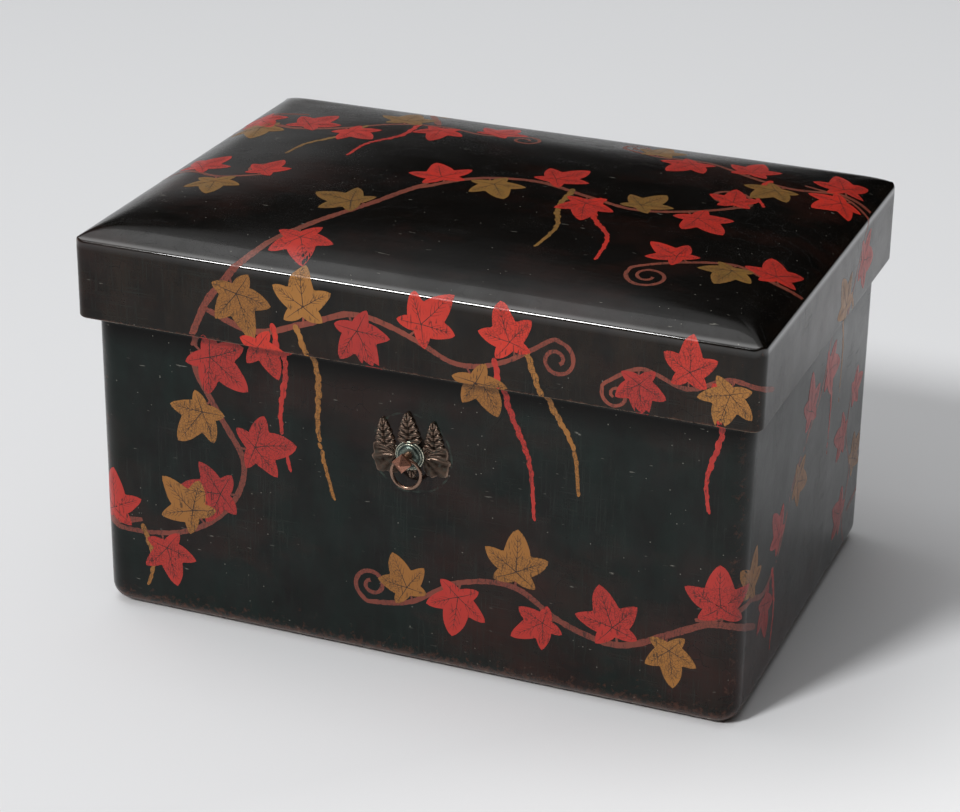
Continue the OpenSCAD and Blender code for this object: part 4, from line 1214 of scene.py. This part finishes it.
def curveObject(name, lines, widths):
    data = bpy.data.curves.new(name, "CURVE")
    data.dimensions = "3D"
    for line, width in zip(lines, widths):
        spline = data.splines.new("POLY")
        spline.points.add(len(line) - 1)
        for point, (a, u) in zip(spline.points, line):
            point.co = (a * mm, u * mm, 0, 1)
            point.radius = width * mm / 2
    thing = bpy.data.objects.new(name, data)
    bpy.context.scene.collection.objects.link(thing)
    return thing


def leafPoints(stems, seed):
    # one point for each leaf of a side
    rng = np.random.default_rng(seed)
    places, facts = [], dict(turn=[], size=[], breadth=[], paint=[], shade=[])
    for v in stems:
        line = smoothLine(v["line"])
        for where, lean, size, paint in v["leaves"]:
            i = min(int(round(where * 10)), len(line) - 2)
            dx, dy = line[i + 1] - line[i]
            places.append((line[i][0] * mm, line[i][1] * mm, 0))
            facts["turn"].append(math.atan2(dy, dx) + math.radians(lean + rng.uniform(-8, 8)) - math.pi / 2)
            facts["size"].append(size * mm)
            facts["breadth"].append(rng.uniform(0.9, 1.08))
            facts["paint"].append(paint)
            facts["shade"].append(rng.uniform(0, 1))
    mesh = bpy.data.meshes.new("leafPoints")
    mesh.from_pydata(places, [], [])
    for name, values in facts.items():
        mesh.attributes.new(name, "FLOAT", "POINT").data.foreach_set("value", np.array(values, np.float32))
    thing = bpy.data.objects.new("leafPoints", mesh)
    bpy.context.scene.collection.objects.link(thing)
    return thing


def cutMesh(mesh, side):
    # the painting is cut where lid and body part and along the ridge, so that each part follows its own surface
    bm = bmesh.new()
    bm.from_mesh(mesh)
    if side == "top":
        for axis, half in ((0, lidShape["halfX"]), (1, lidShape["halfY"])):
            for sign in (-1, 1):
                place, normal = [0, 0, 0], [0, 0, 0]
                place[axis], normal[axis] = sign * (half - 2 * mm), sign
                bmesh.ops.bisect_plane(bm, geom=bm.verts[:] + bm.edges[:] + bm.faces[:], plane_co=place,
                                       plane_no=normal, dist=1e-7, clear_outer=True)
    else:
        bmesh.ops.bisect_plane(bm, geom=bm.verts[:] + bm.edges[:] + bm.faces[:], plane_co=(0, 2 * mm, 0),
                               plane_no=(0, -1, 0), dist=1e-7, clear_outer=True)
        meet, _, run = ridgeTurn(side, coat["inset"])
        for level in (lidShape["bottom"] - paintCoats["gap"], lidShape["bottom"] + paintCoats["gap"],
                      *(meet + run * f for f in (-1, -0.6, -0.2, 0.2, 0.6, 1))):
            parts = bm.verts[:] + bm.edges[:] + bm.faces[:]
            bmesh.ops.bisect_plane(bm, geom=parts, plane_co=(0, level, 0), plane_no=(0, 1, 0), dist=1e-7)
        bendFrom = lidShape[sides[side][1]] - bodyShape["corner"]
        for step in np.arange(0, bodyShape["corner"] + lidShape["corner"] * 1.2, 1.1 * mm):
            for sign in (-1, 1):
                near = [f for f in bm.faces if max(sign * v.co.x for v in f.verts) > bendFrom + step - mm]
                parts = list({e for f in near for e in (*f.verts, *f.edges)}) + near
                if parts:
                    bmesh.ops.bisect_plane(bm, geom=parts, plane_co=(sign * (bendFrom + step), 0, 0),
                                           plane_no=(1, 0, 0), dist=1e-7)
    shadeLayer = bm.verts.layers.float.get("shade")
    bm.verts.index_update()
    points = np.array([v.co for v in bm.verts]).reshape(-1, 3)
    shades = np.array([v[shadeLayer] if shadeLayer else 0.5 for v in bm.verts])
    faces = [[v.index for v in f.verts] for f in bm.faces]
    middles = np.array([f.calc_center_median() for f in bm.faces]).reshape(-1, 3)
    normals = np.array([f.normal.z for f in bm.faces])
    faces = [f if n > 0 else f[::-1] for f, n in zip(faces, normals)]
    bm.free()
    return points, shades, faces, middles


def closedCoat(side, body, points, shades, faces):
    # a thin closed solid: the painted face, its edge, and a back that lies just under the lacquer
    used = sorted({i for f in faces for i in f})
    place = {old: new for new, old in enumerate(used)}
    flat = points[used]
    faces = [[place[i] for i in f] for f in faces]
    top = wrapOnto(side, body, flat)
    low = flat.copy()
    low[:, 2] = -paintCoats["sunk"]
    bottom = wrapOnto(side, body, low)
    count = len(used)
    edges = {}
    for f in faces:
        for a, b in zip(f, f[1:] + f[:1]):
            edges[(a, b)] = edges.get((a, b), 0) + 1
    solid = faces + [[i + count for i in f[::-1]] for f in faces]
    for a, b in edges:
        if (b, a) not in edges:
            solid.append([b, a, a + count, b + count])
    return np.concatenate([top, bottom]), np.concatenate([shades[used], shades[used]]), solid


gathered = {}


def paintSide(side, mesh, layer):
    if not mesh.polygons:
        return
    points, shades, faces, middles = cutMesh(mesh, side)
    split, gap = lidShape["bottom"], paintCoats["gap"]
    for body in ("lid", "root"):
        if side == "top":
            keep = faces if body == "lid" else []
        elif body == "lid":
            keep = [f for f, m in zip(faces, middles) if m[1] > split + gap]
        else:
            keep = [f for f, m in zip(faces, middles) if m[1] < split - gap]
        if keep:
            gathered.setdefault((layer, body), []).append(closedCoat(side, body, points, shades, keep))


def paintVines():
    for number_, (side, stems) in enumerate(vines.items()):
        lines = [smoothLine(withTendril(v["line"], *v["curl"]) if v["curl"] else v["line"], 6) for v in stems]
        drawn = curveObject("stemLines", lines, [v["width"] for v in stems])
        paintSide(side, grow(drawn, strokes, {
            "Step": 2.2 * mm, "Wobble": 1.6 * mm, "Thinning": 0.45, "Height": paintCoats["stems"],
            "Paint": stemPaint}), "stems")
        bpy.data.objects.remove(drawn)
        points = leafPoints(stems, 11 + number_)
        for layer, leaf, paintNumber, coatName, paint in (
                ("stalks", ivyStalk, -1.0, "stalks", stemPaint),
                ("red_leaves", ivyBlade, float(red), "leaves", vermilion),
                ("gold_leaves", ivyBlade, float(gold), "leaves", ochre),
                ("veins", ivyVeins, -1.0, "veins", inkLine)):
            paintSide(side, grow(points, leaves, {
                "Leaf": leaf, "Paint Number": paintNumber, "Height": paintCoats[coatName], "Wobble": 3.4 * mm,
                "Paint": paint}), layer)
        bpy.data.objects.remove(points)
        for color, layer, paint in ((red, "red_seeds", vermilion), (gold, "gold_seeds", ochre)):
            strings = [smoothLine(line, 6) for c, line in seedLines[side] if c == color]
            if not strings:
                continue
            drawn = curveObject("seedLine", strings, [3.2] * len(strings))
            paintSide(side, grow(drawn, seeds, {
                "Pitch": 5.0 * mm, "Size": 2.05 * mm, "Height": paintCoats["seeds"], "Seed": 4 + number_,
                "Paint": paint}), layer)
            paintSide(side, grow(drawn, strokes, {
                "Step": 2.5 * mm, "Wobble": 0.0, "Thinning": 0.3, "Height": paintCoats["stems"] * 0.8,
                "Paint": paint}), layer)
            bpy.data.objects.remove(drawn)
        print("painted the", side)


paintLooks = dict(stems=(stemPaint, "stem_paint"), stalks=(stemPaint, "stem_paint"),
                  red_leaves=(vermilion, "vermilion_paint"), gold_leaves=(ochre, "ochre_paint"),
                  red_seeds=(vermilion, "vermilion_paint"), gold_seeds=(ochre, "ochre_paint"),
                  veins=(inkLine, "lacquer"))


def gatherPaint():
    for (layer, body), parts in sorted(gathered.items()):
        points, shades, faces, base = [], [], [], 0
        for p, s, f in parts:
            points.append(p)
            shades.append(s)
            faces += [[i + base for i in face] for face in f]
            base += len(p)
        mesh = bpy.data.meshes.new(layer)
        mesh.from_pydata(np.concatenate(points).tolist(), [], faces)
        layerShade = mesh.attributes.new("shade", "FLOAT", "POINT")
        layerShade.data.foreach_set("value", np.concatenate(shades).astype(np.float32))
        material, slot = paintLooks[layer]
        owner = "lid" if body == "lid" else "body"
        makeObject(owner + "_" + layer, mesh, [material], body)


paintVines()
gatherPaint()


# the cord fitting: drawn for the front in its own plane, x to the right, y up, z out of the wall, in millimetres
fitting = dict(
    x=(ringLow.x + ringHigh.x) / 2 / mm, z=ringHigh.z / mm - 1.15, wall=bodyShape["halfY"] / mm,
)
plate = dict(
    middle=148.0, lean=4.5, scale=0.962,  # height of the plate's own middle, its turn in degrees
    sunk=0.8, relief=1.15, barb=0.80, leafRelief=1.1, ridge=0.42,
    midPlume=(21.6, 18.0, (0, 8.0), 0), sidePlume=(20.0, 15.5, (16.9, 4.6), 2), lowLeaf=(13.0, 13.0, (0, -3.0), 180),
    leafRoot=(9.0, -1.0), leafLobes=(33, -3, -36, -66),
    leafEdge=((88, 7.0), (62, 9.6), (48, 11.8), (33, 16.5), (22, 18.0), (12, 17.6), (3, 16.8), (-9, 18.9),
              (-19, 17.8), (-28, 18.6), (-38, 19.8), (-47, 18.0), (-55, 14.6), (-68, 14.8), (-80, 13.0),
              (-92, 10.0)),
)


def atFitting(points, rear):
    # from the fitting's own plane to the front or the rear wall
    p = np.asarray(points, float)
    turn = -1 if rear else 1
    x = fitting["x"] + turn * p[:, 0]
    y = -turn * (fitting["wall"] + p[:, 2])
    return np.stack([x, y, fitting["z"] + p[:, 1]], 1) * mm


def closeSheet(top, worn, rows, columns, floorHeight):
    # top is a grid of points with how bright each is, rubbed metal with painted highlights and painted shade; gives a
    # closed solid down to floorHeight
    top = np.asarray(top, float)
    bottom = top.copy()
    bottom[:, 2] = floorHeight
    count = len(top)
    faces = []
    for i in range(rows - 1):
        for j in range(columns - 1):
            a, b = i * columns + j, (i + 1) * columns + j
            faces.append((a, a + 1, b + 1, b))
            faces.append((a + count, b + count, b + 1 + count, a + 1 + count))
    edge = list(range(columns)) + [i * columns + columns - 1 for i in range(1, rows)]
    edge += [(rows - 1) * columns + j for j in range(columns - 2, -1, -1)]
    edge += [i * columns for i in range(rows - 2, 0, -1)]
    for a, b in zip(edge, edge[1:] + edge[:1]):
        faces.append((b, a, a + count, b + count))
    return np.concatenate([top, bottom]), faces, np.concatenate([worn, np.zeros(count)])


def plumeSheet(length, width, root, tilt, lift, lobes=5):
    # an upright toothed plume, broad at its root; the lobes lean upwards from the midrib
    rows, columns = 90, 27
    tilt = math.radians(tilt)
    points, worn = [], []
    for i in range(rows):
        v = i / (rows - 1)
        for j in range(columns):
            u = 2 * j / (columns - 1) - 1
            edgePhase = (v * lobes) % 1.0
            envelope = (1 - v) ** 0.55 * min(1, 0.72 + 2.4 * v)
            half = width / 2 * (envelope * (0.70 + 0.30 * math.sin(math.pi * edgePhase) ** 0.55) + 0.012)
            x, y = u * half, v * length
            phase = v * lobes - abs(u) * 0.95 + 0.5
            barb = abs(math.sin(math.pi * phase)) ** 0.7
            fine = 0.5 + 0.5 * math.sin(2 * math.pi * (phase * 3 + abs(u) * 2.0))
            edge = 1 - abs(u) ** 5
            z = lift + plate["relief"] * (0.55 + 0.45 * (1 - u * u)) * edge ** 0.5 * (0.75 + 0.25 * envelope)
            z += plate["barb"] * barb * min(1, abs(u) * 4) - 0.35 * math.exp(-(u * 8) ** 2) + 0.16 * fine
            points.append((root[0] + x * math.cos(tilt) + y * math.sin(tilt),
                           root[1] + y * math.cos(tilt) - x * math.sin(tilt), z))
            # brightness: rubbed barbs and tips with painted highlights, and painted shade between the barbs
            worn.append(min(1, max(0, 0.62 * barb ** 3 * (0.35 + 0.65 * fine) + 0.45 * v ** 3 - 0.15)))
    return closeSheet(points, worn, rows, columns, -plate["sunk"])


def broadLeafSheet(side, lift):
    # a broad lobed leaf beside the boss, drawn round its own root: (angle above the level, distance) of its edge
    outline = plate["leafEdge"]
    angles = np.array([a for a, _ in outline])[::-1]
    reaches = np.array([r for _, r in outline])[::-1]
    rows, columns = 40, 110
    points, worn = [], []
    for i in range(rows):
        f = i / (rows - 1)
        for j in range(columns):
            level = angles[-1] + (angles[0] - angles[-1]) * j / (columns - 1)
            nearest = np.abs(angles - level)
            weight = np.exp(-(nearest / 5.5) ** 2) + 1e-9
            reach = float((reaches * weight).sum() / weight.sum())
            r = 0.5 + (reach - 0.5) * f
            lobe = max(math.exp(-((level - c) / 13) ** 2) for c in plate["leafLobes"])
            ridges = 0.5 + 0.5 * math.cos(2 * math.pi * (level + 26 * f) / 13)
            ridges *= smoothStep((level + 12) / 12) * (1 - f ** 3)
            veins = 0.5 + 0.5 * math.cos(2 * math.pi * level / 5.5)
            edge = 1 - f ** 7
            z = lift + plate["leafRelief"] * (0.30 + 0.70 * lobe) * (0.55 + 0.45 * math.sin(math.pi * min(1, f * 1.08)))
            z = z * edge ** 0.5 + plate["ridge"] * ridges + 0.07 * veins * (1 - f)
            across = plate["leafRoot"][0] + r * math.cos(math.radians(level))
            points.append((side * across, plate["leafRoot"][1] + r * math.sin(math.radians(level)), z))
            # brightness: rubbed ridges and lobe tips with painted highlights, and painted shade between them
            worn.append(min(1, max(0, 0.36 * ridges ** 2 + 0.16 * lobe * f + 0.25 * (f > 0.93) * lobe)))
    if side < 0:
        order = [i * columns + (columns - 1 - j) for i in range(rows) for j in range(columns)]
        points, worn = [points[k] for k in order], [worn[k] for k in order]
    return closeSheet(points, worn, rows, columns, -plate["sunk"])


def lathe(profile, steps, tooth=None):
    # turns (radius, height, brightness) points about the fitting's own axis
    points, faces, worn = [], [], []
    for r, z, bright in profile:
        for k in range(steps):
            angle = 2 * math.pi * k / steps
            rr = r
            if tooth and tooth[0] <= z <= tooth[1]:
                rr = r * (1 + tooth[2] * math.cos(angle * tooth[3]))
            points.append((rr * math.cos(angle), rr * math.sin(angle), z))
            worn.append(bright)
    count = len(profile)
    for i in range(count):
        a, b = i * steps, (i + 1) % count * steps
        for k in range(steps):
            n = (k + 1) % steps
            faces.append((a + k, a + n, b + n, b + k))
    return np.array(points), faces, np.array(worn)


def joinSheets(sheets):
    points, faces, worn, base = [], [], [], 0
    for p, f, w in sheets:
        points.append(p)
        worn.append(w)
        faces += [tuple(i + base for i in face) for face in f]
        base += len(p)
    return np.concatenate(points), faces, np.concatenate(worn)


def fittingMesh(name, points, faces, worn, rear):
    mesh = bpy.data.meshes.new(name)
    mesh.from_pydata(atFitting(points, rear).tolist(), [], [tuple(f) for f in faces])
    markRelief(mesh, worn)
    tidyShell(mesh, 1e-7)
    mesh.set_sharp_from_angle(angle=math.radians(55))
    return mesh


def markRelief(mesh, worn):
    # the relief attribute holds how bright the metal is: rubbed high points, painted highlights and painted shade in
    # the hollows
    layer = mesh.attributes.new("relief", "FLOAT", "POINT")
    layer.data.foreach_set("value", np.broadcast_to(worn, len(mesh.vertices)).astype(np.float32))


def plateSheets():
    side = plate["sidePlume"]
    x, y = side[2]
    points, faces, worn = joinSheets([
        plumeSheet(*side[:2], (-x, y), -side[3], 0.30),
        plumeSheet(*side[:2], (x, y), side[3], 0.30),
        plumeSheet(*plate["midPlume"], 0.55),
        plumeSheet(*plate["lowLeaf"], 0.0, 3),
        broadLeafSheet(-1, 0.55), broadLeafSheet(1, 0.55),
    ])
    lean = math.radians(plate["lean"])
    turned = points.copy()
    turned[:, 0] = (points[:, 0] * math.cos(lean) - points[:, 1] * math.sin(lean)) * plate["scale"]
    turned[:, 1] = (points[:, 0] * math.sin(lean) + points[:, 1] * math.cos(lean)) * plate["scale"]
    turned[:, 1] += plate["middle"] - fitting["z"]
    return turned, faces, worn


def bossProfile():
    # a closed section: round the foot, up the steps, over the dome and back down the bore, with how bright each is; the
    # bright rims are rubbed metal with painted highlights
    return [(2.3, 0.9, 0), (9.6, 0.9, 0), (9.6, 1.7, 0.2), (9.45, 2.0, 0.9), (9.1, 2.15, 0.9), (8.5, 2.05, 0.1),
            (8.3, 2.2, 0.1), (8.25, 2.6, 0.3), (8.05, 2.85, 1.0), (7.5, 2.9, 0.6), (6.9, 2.85, 0), (6.5, 3.2, 0.1),
            (5.9, 3.7, 0.4), (5.0, 4.0, 0.5), (4.0, 4.15, 0.3), (3.2, 4.2, 0.2), (2.3, 4.2, 0.2)]


def makeFittings():
    for name, rear in (("front", False), ("rear", True)):
        mesh = fittingMesh(name + "Plate", *plateSheets(), rear)
        makeObject(name + "_leaf_plate", mesh, [bronze], "root", [name + "_escutcheon"])
        mesh = fittingMesh(name + "Boss", *lathe(bossProfile(), 120, tooth=(0.9, 2.0, 0.012, 30)), rear)
        makeObject(name + "_round_boss", mesh, [greenBronze], "root", [name + "_boss"])
        stud = bevelledCopy(name + "_ring_stud", 0.22 * mm)
        makeObject(name + "_stud", stud, [copper], "root", [name + "_ring_stud"])
        washer = bevelledCopy(name + "_washer", 0.12 * mm)
        makeObject(name + "_stud_washer", washer, [copper], "root", [name + "_washer"])
        makeObject(name + "_cord_ring", ringMesh(rear), [ringBronze], name + "_ring", [name + "_ring"])


def bevelledCopy(node, width):
    source = frame["nodes"][node]
    mesh = source.data.copy()
    bm = bmesh.new()
    bm.from_mesh(mesh)
    bmesh.ops.remove_doubles(bm, verts=bm.verts, dist=1e-6)
    bmesh.ops.dissolve_limit(bm, angle_limit=math.radians(1.0), verts=bm.verts, edges=bm.edges)
    sharp = [e for e in bm.edges if len(e.link_faces) == 2 and e.calc_face_angle() > math.radians(18)]
    bmesh.ops.bevel(bm, geom=sharp, offset=width, segments=2, profile=0.6, affect="EDGES", clamp_overlap=True)
    bmesh.ops.triangulate(bm, faces=[f for f in bm.faces if len(f.verts) > 4])
    bm.to_mesh(mesh)
    bm.free()
    mesh.materials.clear()
    for layer in [a.name for a in mesh.attributes if a.name.startswith("custom_normal")]:
        mesh.attributes.remove(mesh.attributes[layer])
    mesh.shade_flat()
    markRelief(mesh, 0.45)
    return mesh


def ringMesh(rear):
    # a hand-bent ring of round wire, a little flattened by wear where it hangs
    ringRadius = (ringHigh.x - ringLow.x) / 2 / mm - 0.75
    out = (abs(ringLow.y) + abs(ringHigh.y)) / 2 / mm - bodyShape["halfY"] / mm
    steps, sides_ = 144, 28
    points, faces = [], []
    for i in range(steps):
        angle = 2 * math.pi * i / steps
        wire = 1.15 - 0.05 + 0.035 * math.sin(3 * angle + 1) - 0.05 * max(0, math.cos(angle)) ** 8
        wire += 0.14 * max(0, -math.cos(angle))
        for j in range(sides_):
            turn = 2 * math.pi * j / sides_
            r = ringRadius + wire * math.cos(turn)
            points.append((r * math.sin(angle), r * math.cos(angle) - ringRadius, out + wire * math.sin(turn)))
    for i in range(steps):
        a, b = i * sides_, (i + 1) % steps * sides_
        for j in range(sides_):
            n = (j + 1) % sides_
            faces.append((a + j, a + n, b + n, b + j))
    return fittingMesh("ring", points, faces, 0.4, rear)


makeFittings()
print("cord fittings made")
